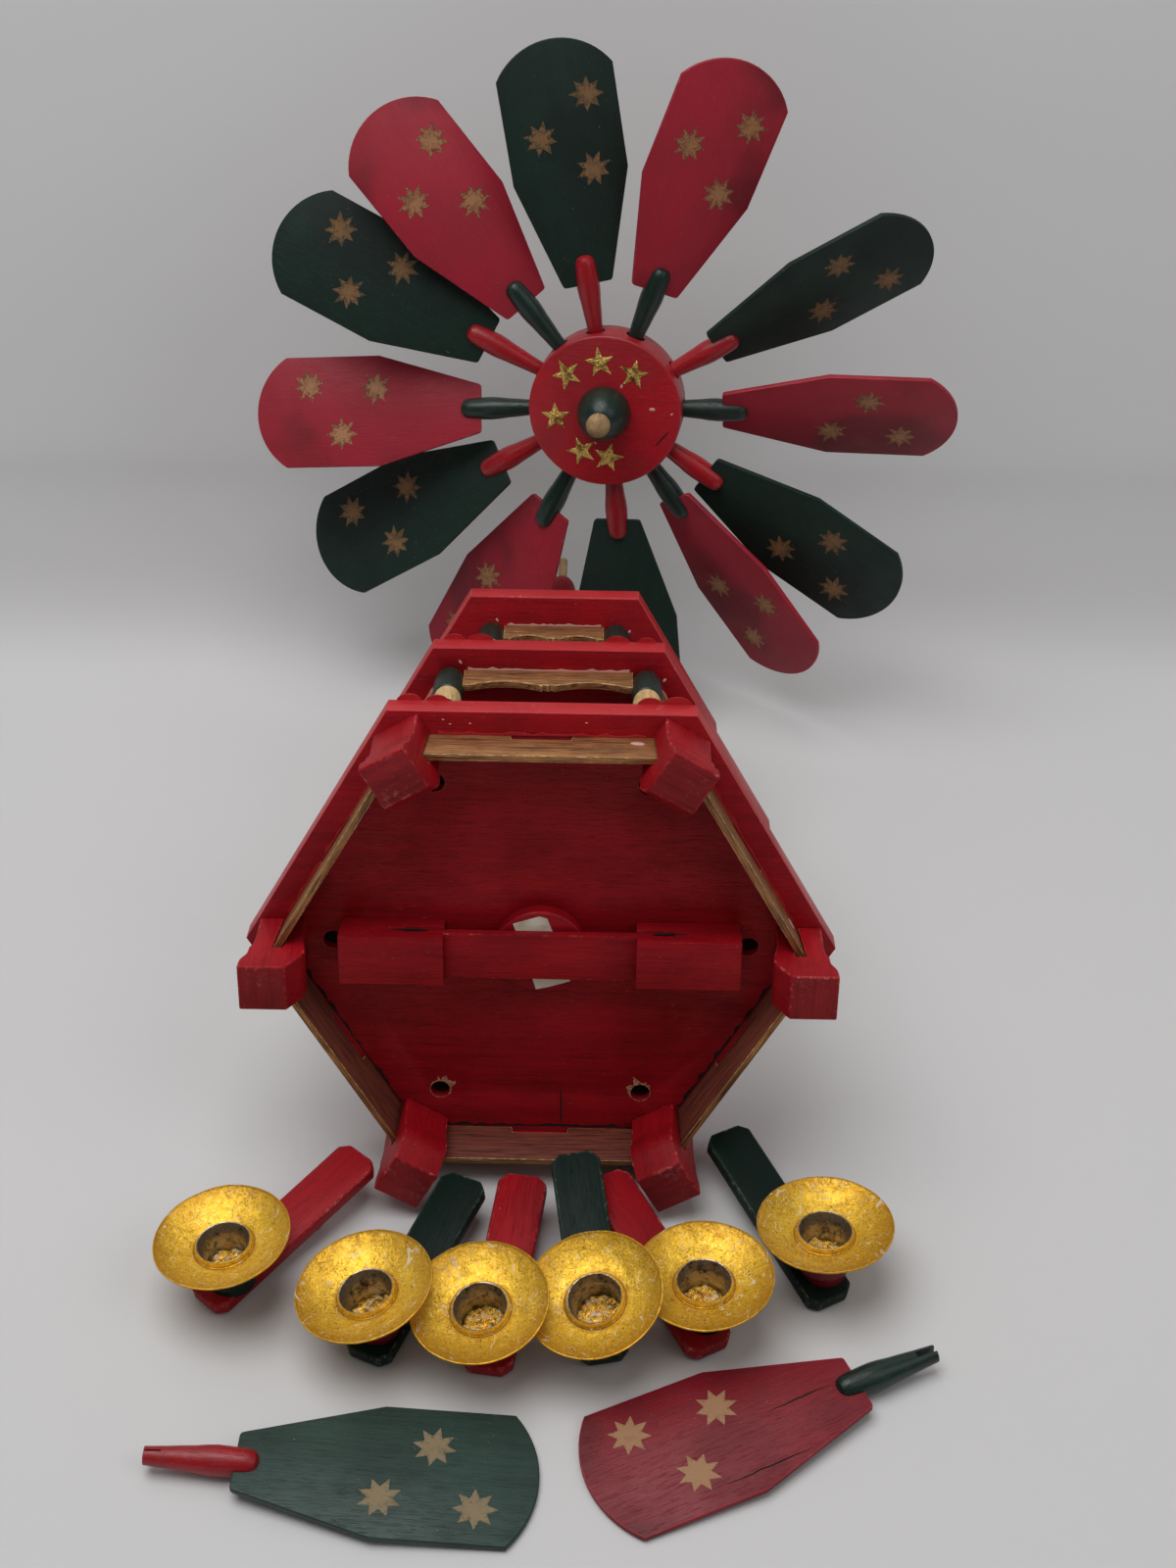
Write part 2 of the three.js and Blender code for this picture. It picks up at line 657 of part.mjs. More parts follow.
function stoodRotor() {
  const group = new THREE.Group();
  group.position.copy(rotorPlace);
  group.rotation.set(rad(90 - rotorLean), 0, rad(rotorYaw), 'ZYX');
  group.add(node('rotor_hub', rotorHub(), redPaint));
  group.add(node('rotor_finial', rotorFinial(), greenPaint));
  bladeStands.forEach((stand, i) => {
    const holder = bladeGroup(stand);
    const made = blade(stand.overlap, bladeLength, false);
    holder.add(node(`rotor_blade_${i + 1}`, made, i % 2 === 0 ? greenPaint : redPaint));
    group.add(holder);
  });
  return group;
}

// An arm rests on its peg and on the lower edge of its outer end, so its bar slopes outwards
function laidArm(lie, i) {
  const slope = Math.atan(armPegLength / (armLength - armPegFromInner)) + Math.asin(lie.raised / armLength);
  const holder = new THREE.Group();
  holder.rotation.set(rad(lie.roll), slope, rad(lie.direction), 'ZYX');
  const lowEdge = (armWidth / 2) * Math.sin(Math.abs(rad(lie.roll)));
  const upright = holder.quaternion.clone().invert();
  const axis = new THREE.Vector3(...lie.faces, 1).normalize().applyQuaternion(upright);
  const block = blockFrame(lie.aside, axis);
  const dish = new THREE.Vector3(0, 0, armBlockHeight + gap + cupWall + cupDishRise);
  dish.applyMatrix4(block).applyQuaternion(holder.quaternion);
  holder.position.set(lie.x - dish.x, lie.y - dish.y, armLength * Math.sin(slope) + lowEdge + floorGap);
  holder.add(node(`candle_arm_${i + 1}`, arm(block), i % 2 === 0 ? redPaint : greenPaint));
  const seat = new THREE.Matrix4().makeTranslation(0, 0, armBlockHeight - cupSeatDepth + gap);
  const cup = node(`candle_cup_${i + 1}`, candleCup(), goldMetal);
  cup.applyMatrix4(block.clone().multiply(seat));
  holder.add(cup);
  return holder;
}

function laidSpare(lie, i) {
  const drop = Math.atan((pegBellyRadius - bladeThick / 2) / (spareLength - spareOverlap));
  const holder = new THREE.Group();
  holder.position.set(lie.x, lie.y, pegBellyRadius + floorGap);
  holder.rotation.set(0, drop, rad(lie.direction), 'ZYX');
  const piece = blade(spareOverlap, spareLength, true);
  const made = node(`spare_blade_${i + 1}`, piece, lie.paint === 'green' ? greenPaint : redPaint);
  made.position.x = spareOverlap - pegReach;
  holder.add(made);
  return holder;
}

// All pieces as they lie, moved so that the origin is under the middle of the whole
const layout = new THREE.Group();
layout.add(laidBody(), stoodRotor());
armLies.forEach((lie, i) => layout.add(laidArm(lie, i)));
spareLies.forEach((lie, i) => layout.add(laidSpare(lie, i)));
layout.updateMatrixWorld(true);
const reach = new THREE.Box3().setFromObject(layout, true);
layout.position.set(-(reach.min.x + reach.max.x) / 2, -(reach.min.y + reach.max.y) / 2, -reach.min.z);

const pyramid = new THREE.Group();
pyramid.add(layout);

export default pyramid;
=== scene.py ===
"""A wooden christmas pyramid, taken apart and laid out around its CAD frame."""

import math
import random

import bmesh
import bpy
from mathutils import Matrix, Vector, noise


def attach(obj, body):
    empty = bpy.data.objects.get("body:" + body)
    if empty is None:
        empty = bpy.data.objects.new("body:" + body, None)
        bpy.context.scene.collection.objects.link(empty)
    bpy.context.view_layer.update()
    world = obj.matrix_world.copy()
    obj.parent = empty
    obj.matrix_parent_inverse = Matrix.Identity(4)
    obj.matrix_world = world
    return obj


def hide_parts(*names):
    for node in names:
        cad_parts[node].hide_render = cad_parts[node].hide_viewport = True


bl_info = {
    "name": "Christmas Pyramid Layout",
    "version": (1, 0, 0),
    "blender": (4, 5, 0),
    "location": "View3D > Sidebar > Pyramid",
    "description": "Dresses the parts of a christmas pyramid with worn paint, gold dishes and stars",
    "category": "Object",
}

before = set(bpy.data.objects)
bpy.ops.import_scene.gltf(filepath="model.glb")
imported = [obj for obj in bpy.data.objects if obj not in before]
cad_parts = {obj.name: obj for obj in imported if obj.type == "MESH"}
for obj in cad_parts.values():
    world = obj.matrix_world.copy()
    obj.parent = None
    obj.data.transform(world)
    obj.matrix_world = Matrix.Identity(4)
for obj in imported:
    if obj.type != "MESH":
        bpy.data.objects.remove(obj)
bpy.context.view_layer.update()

MM = 0.001
GAP = 0.3
HOLE_GAP = 0.35
STOREY = 80.5
CORNERS = (97.4, 80.8, 64.8)
LOWER_CIRCLE = 68.5
UPPER_CIRCLE = 48
PEG_REACH = 59.5
FOOT_CIRCLE = 84.6
RAIL_OUTER = 76.5
RAIL_THICK = 2.2

# Where the layout stands in the frame, in millimetres
LAYOUT = Vector((-3.253, -622.510, 0.205))

LOOKS = {}


# Frames of the pieces


def move(x, y, z):
    return Matrix.Translation(Vector((x, y, z)) * MM)


def turn(axis, degrees):
    return Matrix.Rotation(math.radians(degrees), 4, axis)


def axes(x, y, z):
    """A turn whose columns are the directions of the new axes."""
    return Matrix((x, y, z)).transposed().to_4x4()


def flat(corner):
    return corner * math.cos(math.radians(30))


BODY_DIP = math.degrees(math.atan((flat(CORNERS[0]) - flat(CORNERS[2])) / (2 * STOREY)))
BODY = move(-18.053, -81.210, 84.920) @ turn("Z", -0.3) @ turn("X", -90 - BODY_DIP)
ROTOR = move(2.457, 188.440, 141.435) @ turn("Z", -8) @ turn("X", 79.6)
UPRIGHT_BOARD = axes((0, 1, 0), (0, 0, 1), (1, 0, 0))
HANGING_BOARD = axes((0, 0, -1), (1, 0, 0), (0, -1, 0))
ALONG_X = turn("Y", 90)

BLADES = [
    {"direction": 101.2, "pitch": 18, "lean": 1, "pulled": 3.4, "overlap": 12},
    {"direction": 71, "pitch": 20, "lean": -1.5, "pulled": 2, "overlap": 10.2},
    {"direction": 32, "pitch": 37, "lean": -3.5, "pulled": 1.2, "overlap": 10},
    {"direction": 2, "pitch": 32, "lean": -1.5, "pulled": -1.5, "overlap": 10.5},
    {"direction": 329, "pitch": 21, "lean": 1, "pulled": -1.5, "overlap": 8.5},
    {"direction": 308, "pitch": 38, "lean": -1.5, "pulled": -1.8, "overlap": 9.5},
    {"direction": 277.3, "pitch": 10, "lean": 0.5, "pulled": -1.6, "overlap": 8.5},
    {"direction": 244.4, "pitch": 22, "lean": -3, "pulled": 2.4, "overlap": 9.5},
    {"direction": 213.1, "pitch": 26, "lean": -2.5, "pulled": 3, "overlap": 10},
    {"direction": 185.7, "pitch": 26, "lean": 1.5, "pulled": 1.8, "overlap": 8.5},
    {"direction": 154.2, "pitch": 14, "lean": 3, "pulled": 5.2, "overlap": 9.7},
    {"direction": 131, "pitch": 22, "lean": 1.5, "pulled": 4.2, "overlap": 10.8},
]

ARM_LENGTH = 72
ARM_WIDTH = 16.5
ARM_THICK = 5
ARM_BLOCK_HEIGHT = 13
CUP_DISH = 11.8
CUP_RIM = CUP_DISH + 5
ARMS = [
    {"at": (-114.8, 464.8), "faces": (-0.11, 0.03), "direction": -131.5, "roll": 1, "aside": 2, "lift": 0},
    {"at": (-67.9, 446.1), "faces": (-0.2, -0.01), "direction": -114.7, "roll": 1, "aside": -0.8, "lift": 0},
    {"at": (-31.6, 440.4), "faces": (-0.12, -0.12), "direction": -98.1, "roll": 0, "aside": -1.5, "lift": 0},
    {"at": (3.8, 442.6), "faces": (-0.19, -0.19), "direction": -81.2, "roll": 5, "aside": 1.3, "lift": 9},
    {"at": (38.8, 451.9), "faces": (-0.03, 0.01), "direction": -60.3, "roll": -3, "aside": 2.9, "lift": 0},
    {"at": (78.6, 473.8), "faces": (-0.03, 0.09), "direction": -61.8, "roll": 0, "aside": 2.9, "lift": 0},
]
SPARES = [
    {"at": (-102.9, 395.7), "direction": -2},
    {"at": (86.9, 427.7), "direction": -156.6},
]


def rail_frame(angle):
    """A rail leans outwards towards the floor, about its outer edge at the deck."""
    return turn("Z", angle) @ move(RAIL_OUTER, 0, 0) @ turn("Y", -4.5)


def blade_frame(stand):
    turned_by = turn("Z", stand["direction"]) @ turn("Y", -stand["lean"]) @ turn("X", stand["pitch"])
    return ROTOR @ turned_by @ move(stand["pulled"], 0, 0)


def spare_frame(lie):
    drop = math.degrees(math.atan((4.7 - 1) / (91.5 - 7.5)))
    at = Vector((*lie["at"], 4.95)) + LAYOUT
    return move(*at) @ turn("Z", lie["direction"]) @ turn("Y", drop) @ move(7.5 - PEG_REACH, 0, 0)


def arm_frames(lie):
    """The frame of an arm's bar, that of its turned block and that of its dish."""
    slope = math.atan(7.7 / (ARM_LENGTH - 26)) + math.asin(lie["lift"] / ARM_LENGTH)
    bar = turn("Z", lie["direction"]) @ turn("Y", math.degrees(slope)) @ turn("X", lie["roll"])
    facing = bar.to_3x3().inverted() @ Vector((*lie["faces"], 1)).normalized()
    leaning = Vector((0, 0, 1)).rotation_difference(facing).to_matrix().to_4x4()
    block = move(ARM_LENGTH - 11.7, lie["aside"], ARM_THICK) @ leaning
    dish = bar @ block @ Vector((0, 0, (ARM_BLOCK_HEIGHT + GAP + 0.9 + 5) * MM))
    low_edge = ARM_WIDTH / 2 * math.sin(abs(math.radians(lie["roll"])))
    foot = Vector((lie["at"][0], lie["at"][1], ARM_LENGTH * math.sin(slope) + low_edge + 0.25))
    place = (foot + LAYOUT) * MM - Vector((dish.x, dish.y, 0))
    bar = Matrix.Translation(place) @ bar
    cup = bar @ block @ move(0, 0, ARM_BLOCK_HEIGHT - (CUP_DISH - 0.9) + GAP)
    return bar, bar @ block, cup


# Materials


def tint(red, green, blue):
    """A colour given as on a screen, 0 to 255, made linear."""
    def straight(value):
        value /= 255
        return value / 12.92 if value <= 0.04045 else ((value + 0.055) / 1.055) ** 2.4
    return (straight(red), straight(green), straight(blue), 1.0)


class Value:
    """A node's output. A sum on it adds a Math node, or a Vector Math node for vectors."""

    def __init__(self, look, socket):
        self.look = look
        self.socket = socket

    def _sum(self, operation, first, second):
        parts = (first, second)
        if any(isinstance(p, Value) and p.socket.type == "VECTOR" for p in parts):
            parts = [(p, p, p) if isinstance(p, (int, float)) else p for p in parts]
            return self.look.node("VectorMath", {"operation": operation}, parts)
        return self.look.node("Math", {"operation": operation}, parts)

    def __add__(self, other):
        return self._sum("ADD", self, other)

    def __radd__(self, other):
        return self._sum("ADD", other, self)

    def __sub__(self, other):
        return self._sum("SUBTRACT", self, other)

    def __rsub__(self, other):
        return self._sum("SUBTRACT", other, self)

    def __mul__(self, other):
        return self._sum("MULTIPLY", self, other)

    def __rmul__(self, other):
        return self._sum("MULTIPLY", other, self)

    def __truediv__(self, other):
        return self._sum("DIVIDE", self, other)

    def __pow__(self, other):
        return self._sum("POWER", self, other)


class Look:
    """A material on its way: its Principled shader and the nodes that feed it."""

    def __init__(self, name, **plain):
        self.material = bpy.data.materials.new(name)
        self.material.use_nodes = True
        self.tree = self.material.node_tree
        self.shader = self.tree.nodes["Principled BSDF"]
        for socket, value in plain.items():
            self.shader.inputs[socket.replace("_", " ")].default_value = value
        LOOKS[name] = self.material

    def node(self, kind, settings=None, values=(), out=0):
        """A node of that type: its settings first, then the values or links of its sockets."""
        made = self.tree.nodes.new("ShaderNode" + kind)
        for name, value in (settings or {}).items():
            if name == "stops":
                for element, (at, colour) in zip(made.color_ramp.elements, value):
                    element.position = at
                    element.color = colour
            else:
                setattr(made, name, value)
        pairs = values.items() if isinstance(values, dict) else enumerate(values)
        for key, value in pairs:
            if isinstance(value, Value):
                self.tree.links.new(value.socket, made.inputs[key])
            else:
                made.inputs[key].default_value = value
        return Value(self, made.outputs[out])

    def feed(self, **values):
        for socket, value in values.items():
            self.tree.links.new(value.socket, self.shader.inputs[socket.replace("_", " ")])

    def place(self, stretch=(1, 1, 1)):
        """The piece's own coordinates in millimetres, a little apart from piece to piece."""
        here = self.node("TexCoord", out="Object")
        apart = self.node("ObjectInfo", out="Random") * 70.0
        scaled = self.node("VectorMath", {"operation": "MULTIPLY"}, [here, [1000 * s for s in stretch]])
        return scaled + apart

    def noise(self, where, scale, detail=3.0, roughness=0.55, distortion=0.0):
        values = {"Vector": where, "Scale": scale, "Detail": detail}
        values.update({"Roughness": roughness, "Distortion": distortion})
        return self.node("TexNoise", values=values)

    def step(self, value, low, high):
        values = {"Value": value, "From Min": low, "From Max": high}
        return self.node("MapRange", {"interpolation_type": "SMOOTHSTEP"}, values)

    def mix(self, share, first, second):
        return self.node("Mix", {"data_type": "RGBA"}, {0: share, 6: first, 7: second}, out=2)

    def bump(self, height, distance, strength=1.0):
        return self.node("Bump", values={"Height": height, "Distance": distance, "Strength": strength})


def grain_stretch(grain):
    return {"X": (0.05, 1, 1), "Z": (1, 1, 0.05)}[grain]


def painted_wood(name, paint, deep, bare, grain="X", worn=0.0, gloss=0.4, shine=0.2, figure=1.0, fine=1.0,
                 soot=0.0):
    """Brushed paint over wood: the grain shows through, and it is chipped down to the wood."""
    look = Look(name)
    look.shader.inputs["Specular IOR Level"].default_value = shine
    here = look.place()
    along = look.place(grain_stretch(grain))
    fibres = look.noise(along, 0.9 * fine, 5.0, 0.65, 0.4)
    rings = look.noise(along, 0.16 * fine, 2.0, 0.5, 1.6)
    clouds = look.noise(here, 0.035, 3.0)
    pores = look.step(look.noise(along, 3.0, 2.0), 0.58, 0.66)
    tone = look.step(clouds, 0.35, 0.65) * 0.45 + look.step(rings, 0.42, 0.6) * (0.3 * figure)
    colour = look.mix(tone, paint, deep)
    darker = [0.4 * d for d in deep[:3]] + [1.0]
    lines = look.step(fibres, 0.52, 0.66) * (0.4 * figure) + pores * (0.3 * figure)
    colour = look.mix(lines, colour, darker)
    smoke = look.step(look.noise(here, 0.024, 2.0), 0.5, 0.66) * soot
    colour = look.mix(smoke, colour, darker)
    chips = look.noise(here, 0.55, 6.0, 0.7) + look.noise(here, 0.06, 2.0) * 0.35
    limit = 0.97 - worn
    bared = look.step(chips, limit, limit + (0.14 if worn > 0.1 else 0.03))
    rubbed = look.step(chips, limit - 0.1, limit + 0.02) * 0.3
    colour = look.mix(rubbed, colour, [0.6 * p + 0.4 * b for p, b in zip(paint, bare)])
    colour = look.mix(bared, colour, bare)
    streaks = look.noise(look.place((0.3, 1.5, 1.5)), 0.45, 4.0, 0.7, 2.5)
    scratched = look.step(streaks, 0.69, 0.72) * look.step(look.noise(here, 0.05, 2.0), 0.5, 0.6)
    dust = look.step(look.noise(here, 1.7, 2.0), 0.74, 0.78)
    colour = look.mix(scratched * 0.35 + dust * 0.5, colour, tint(214, 190, 184))
    rough = gloss + look.step(clouds, 0.35, 0.7) * 0.12 + bared * 0.3 + fibres * 0.1
    height = fibres * 0.5 + rings * 0.4 - pores * 0.5 - bared * 0.8 + look.noise(here, 1.6, 2.0) * 0.4
    look.feed(Base_Color=colour, Roughness=rough, Normal=look.bump(height, 0.0002, 0.3 + 0.5 * figure))
    return look.material


def make_looks(colours):
    bare = tuple(colours.wood) + (1.0,)
    red = tuple(colours.red) + (1.0,)
    green = tuple(colours.green) + (1.0,)
    dark_green = tuple(0.6 * part for part in colours.green) + (1.0,)
    deep_red = tint(118, 5, 16)
    deep_green = tint(12, 24, 20)
    pink = tint(204, 88, 86)
    pale_green = tint(120, 140, 125)
    for grain, end in (("X", "board"), ("Z", "turned")):
        painted_wood(f"red_{end}", red, deep_red, pink, grain, figure=0.75)
        painted_wood(f"red_{end}_edge", red, deep_red, pink, grain, 0.27)
        painted_wood(f"green_{end}", dark_green, deep_green, pale_green, grain, shine=0.15, figure=0.4)
        painted_wood(f"green_{end}_edge", green, deep_green, pale_green, grain, 0.22, shine=0.25)
        painted_wood(f"bare_{end}", bare, tint(178, 138, 88), tint(225, 200, 160), grain, 0.05, 0.6)
    painted_wood("red_end_grain", tint(150, 30, 36), tint(96, 12, 18), tint(158, 120, 112), "Z", 0.15, 0.6,
                 0.25, 0.7)
    # Painted shade: a darker red for the turned blocks under the dishes, for the dishes' shadow on them
    painted_wood("shaded_red_block", tint(116, 14, 28), tint(84, 8, 18), tint(170, 120, 116), "Z", 0.1, 0.34, 0.35,
                 0.5)
    painted_wood("red_gloss", red, deep_red, pink, "Z", 0.0, 0.26, 0.5, 0.6)
    painted_wood("green_gloss", green, deep_green, pale_green, "Z", 0.0, 0.26, 0.5, 0.6)
    painted_wood("red_hub", tint(170, 18, 32), deep_red, pink, "X", 0.02, 0.3, 0.5, 0.3)
    painted_wood("red_spare", tint(130, 16, 32), tint(98, 8, 20), pink, "X", -0.04, 0.42, 0.45, 0.6, 2.2,
                 0.45)
    painted_wood("green_spare", tint(44, 68, 60), tint(26, 44, 38), pale_green, "X", -0.04, 0.42, 0.45, 0.7,
                 2.2)
    # Painted light: a lighter red for the decks' side faces, for the light along the decks' edges; the paint
    # lumps and the paint lines by the rails share it
    painted_wood("lit_red_rim", tint(186, 40, 46), red, pink, "X", 0.15, 0.34, 0.4, 0.5)
    # Worn paint and painted highlight: a pinkish red for the decks' rounded edges, also standing in for
    # light catching them
    painted_wood("worn_and_highlight_edge", tint(190, 66, 68), red, tint(214, 120, 116), "X", 0.2, 0.34, 0.4, 0.5)
    crimson = tint(158, 18, 42)
    painted_wood("red_blade", crimson, tint(134, 12, 32), pink, "X", -0.08, 0.46, 0.45, 0.25, soot=0.6)
    painted_wood("red_blade_edge", crimson, tint(150, 14, 34), pink, "X", 0.2, 0.46, 0.45, 0.25)
    painted_wood("green_blade", green, deep_green, pale_green, "X", -0.08, 0.48, 0.35, 0.3, soot=0.4)
    painted_wood("green_blade_edge", green, deep_green, pale_green, "X", 0.1, 0.48, 0.35, 0.3)
    bronze_look(colours)
    stencil_look("stencil_on_red", tint(104, 50, 34), tint(164, 116, 76))
    stencil_look("stencil_on_green", tint(60, 52, 36), tint(132, 98, 62))
    stencil_look("bright_on_red", tint(132, 78, 56), tint(162, 122, 86), 0.3)
    stencil_look("bright_on_green", tint(84, 80, 60), tint(134, 116, 86), 0.34)
    painted_wood("worn_tip", tint(178, 146, 104), tint(112, 86, 58), tint(206, 178, 140), "Z", 0.1, 0.5)
    foil_look()
    dish_look(colours)
    socket_look()
    pit_look()
    paper_look()
    # A near black: the scratches, the cracks and the dark lines by the rails, and painted shade for the saw
    # slits and for the pillars' tenons in their holes
    Look("dark_mark_and_gap_shade", Base_Color=tint(26, 8, 7), Roughness=0.95)
    Look("old_glue", Base_Color=tint(202, 158, 148), Roughness=0.35)
    torn = Look("torn_wood", Roughness=0.8)
    fibres = torn.step(torn.noise(torn.place(), 1.6, 4.0, 0.7), 0.4, 0.6)
    torn.feed(Base_Color=torn.mix(fibres, tint(120, 52, 36), tint(196, 146, 104)))
    # Painted shade: the rails' inner faces get a dark red-brown with grain, for the shade that falls on them
    inside = Look("shaded_rail_inside", Roughness=0.6)
    fibres = inside.step(inside.noise(inside.place((0.05, 1, 1)), 1.2, 4.0, 0.65), 0.4, 0.65)
    inside.feed(Base_Color=inside.mix(fibres, tint(124, 62, 46), tint(72, 30, 22)))
    steel = Look("steel_pin", Base_Color=tint(120, 118, 112), Metallic=1.0, Roughness=0.35)
    steel.feed(Normal=steel.bump(steel.noise(steel.place(), 1.2), 0.0001, 0.3))
    glass = Look("bearing_glass", Base_Color=tint(215, 228, 222), Roughness=0.06)
    glass.shader.inputs["Transmission Weight"].default_value = 0.9


def bronze_look(colours):
    """Dull bronze paint in which the wood's open grain shows as dark lines."""
    look = Look("bronze_board")
    bronze = tuple(colours.bronze) + (1.0,)
    here = look.place()
    along = look.place((0.04, 1, 1))
    fibres = look.noise(along, 1.5, 4.0, 0.65, 0.5)
    lines = look.step(fibres, 0.5, 0.6)
    hairs = look.step(look.noise(look.place((0.04, 1.2, 1.2)), 1.4, 3.0), 0.54, 0.6)
    clouds = look.step(look.noise(here, 0.12, 3.0), 0.35, 0.7)
    colour = look.mix(clouds * 0.5, bronze, tint(120, 74, 46))
    colour = look.mix(lines * 0.7, colour, tint(66, 32, 20))
    colour = look.mix(hairs * 0.75, colour, tint(48, 22, 14))
    sheen = look.step(look.noise(along, 2.4, 3.0), 0.5, 0.7)
    colour = look.mix(sheen * 0.35, colour, tint(206, 160, 104))
    look.feed(Base_Color=colour, Metallic=0.7 - lines * 0.5, Roughness=0.42 + lines * 0.3)
    look.feed(Normal=look.bump(fibres * -1.0 + sheen * 0.2, 0.0003, 0.8))
    # Worn paint and painted highlight: spots of lighter gold on the rounded bronze edges, partly for light
    # catching the edges
    edge = Look("bronze_worn_and_highlight_edge", Roughness=0.55)
    spots = edge.step(edge.noise(edge.place(), 0.5, 5.0, 0.7), 0.45, 0.62)
    edge.feed(Base_Color=edge.mix(spots, tint(150, 112, 66), tint(210, 176, 118)))


def stencil_look(name, thin, full, low=0.42):
    """Gold paint dabbed through a stencil: thin towards the edge of each star."""
    look = Look(name, Metallic=0.2)
    here = look.place()
    inset = look.node("Attribute", {"attribute_name": "inset"}, out="Fac")
    dabs = look.noise(here, 1.1, 4.0, 0.7)
    share = look.step(dabs + inset * 0.25, low, low + 0.24)
    colour = look.mix(share, thin, full)
    colour = look.mix(look.step(look.noise(here, 0.2, 2.0), 0.5, 0.75) * 0.5, colour, thin)
    look.feed(Base_Color=colour, Roughness=0.66 - share * 0.12)
    look.feed(Normal=look.bump(dabs, 0.0002, 0.6))


def foil_look():
    """Pressed gold foil, crinkled and rubbed dull in places."""
    look = Look("gold_foil", Metallic=1.0)
    here = look.place()
    crease = look.noise(here, 0.8, 5.0, 0.65, 0.8)
    dull = look.step(look.noise(here, 0.3, 3.0), 0.45, 0.7)
    look.feed(Base_Color=look.mix(dull, tint(240, 204, 116), tint(132, 98, 48)))
    look.feed(Roughness=0.22 + dull * 0.25, Normal=look.bump(crease, 0.0008, 1.0))


def dish_look(colours):
    """Gold leaf over metal: pitted and crackled, with brown stains, wax scratches and a dark groove."""
    look = Look("gold_dish")
    gold = tuple(colours.gold) + (1.0,)
    here = look.place()
    where = look.node("TexCoord", out="Object") * 1000.0
    level = look.node("VectorMath", {"operation": "MULTIPLY"}, [where, (1, 1, 0)])
    radius = look.node("VectorMath", {"operation": "LENGTH"}, [level], out="Value")
    pits = look.noise(here, 1.3, 4.0, 0.75, 0.4)
    wrinkles = look.noise(here, 0.36, 4.0, 0.65, 1.1)
    near = look.node("Math", {"operation": "ABSOLUTE"}, [wrinkles - 0.5])
    patches = look.step(look.noise(here, 0.12, 3.0), 0.4, 0.6)
    stain = look.step(look.noise(here + 9.0, 0.16, 5.0, 0.7), 0.46, 0.66)
    colour = look.mix(stain * 0.35, gold, tint(190, 134, 30))
    colour = look.mix(look.step(pits, 0.53, 0.63) * 0.6, colour, tint(136, 86, 16))
    cracks = (1 - look.step(near, 0.003, 0.012)) * patches
    colour = look.mix(cracks * 0.75, colour, tint(96, 56, 14))
    paler = look.step(look.noise(here + 17.0, 0.8, 4.0, 0.7), 0.54, 0.64)
    colour = look.mix(paler * 0.5, colour, tint(255, 232, 136))
    groove = look.step(radius, 9.45, 9.6) * (1 - look.step(radius, 9.9, 10.4))
    colour = look.mix(look.step(radius, 14.5, 22) * 0.45, colour, tint(184, 122, 22))
    colour = look.mix(groove * 0.65, colour, tint(84, 54, 16))
    drawn = look.noise(here + 50.0, 0.11, 1.0, 0.5, 1.4)
    line = look.node("Math", {"operation": "ABSOLUTE"}, [drawn - 0.5])
    broken = look.step(look.noise(here, 0.2, 3.0), 0.48, 0.56)
    wax = (1 - look.step(line, 0.002, 0.012)) * broken
    colour = look.mix(wax * 0.65, colour, tint(226, 218, 204))
    specks = look.step(look.noise(here, 1.6, 2.0), 0.7, 0.74) * 0.85
    colour = look.mix(specks, colour, tint(60, 38, 14))
    metal = 0.66 - wax * 0.45 - specks * 0.4 - groove * 0.2
    look.feed(Base_Color=colour, Metallic=metal, Roughness=0.42 + stain * 0.1 + wax * 0.2 + groove * 0.2)
    look.feed(Normal=look.bump(wrinkles + pits * 0.3 - cracks * 0.3, 0.0004, 0.6))


def socket_look():
    """The candle socket's wall: tarnished grey metal with soot and traces of gold."""
    look = Look("socket_metal")
    here = look.place()
    soot = look.step(look.noise(here, 0.35, 4.0, 0.65), 0.45, 0.68)
    trace = look.step(look.noise(here, 0.8, 4.0, 0.7), 0.52, 0.62)
    colour = look.mix(soot, tint(176, 168, 150), tint(62, 46, 34))
    colour = look.mix(trace * 0.7, colour, tint(178, 130, 40))
    look.feed(Base_Color=colour, Metallic=0.9 - soot * 0.3, Roughness=0.28 + soot * 0.25)
    look.feed(Normal=look.bump(look.noise(here, 1.2, 4.0), 0.0003, 0.6))


def pit_look():
    """What lies at the bottom of a socket: creased foil with soot and old wax."""
    look = Look("socket_foil")
    here = look.place()
    soot = look.step(look.noise(here, 0.45, 4.0, 0.7), 0.52, 0.62)
    wax = look.step(look.noise(here + 31.0, 0.4, 3.0), 0.52, 0.6)
    colour = look.mix(soot * 0.8, tint(250, 196, 84), tint(58, 38, 22))
    colour = look.mix(wax * 0.65, colour, tint(224, 206, 180))
    look.feed(Base_Color=colour, Metallic=0.95 - wax * 0.75 - soot * 0.3, Roughness=0.25 + soot * 0.3)
    look.feed(Normal=look.bump(look.noise(here, 0.9, 5.0, 0.7, 1.0), 0.0006, 0.9))


def paper_look():
    look = Look("label_paper", Roughness=0.85)
    here = look.place()
    stain = look.step(look.noise(here, 0.25, 4.0), 0.4, 0.75)
    look.feed(Base_Color=look.mix(stain * 0.7, tint(216, 208, 190), tint(176, 160, 134)))
    look.feed(Normal=look.bump(look.noise(here, 1.5, 3.0), 0.0001, 0.4))


# Meshes


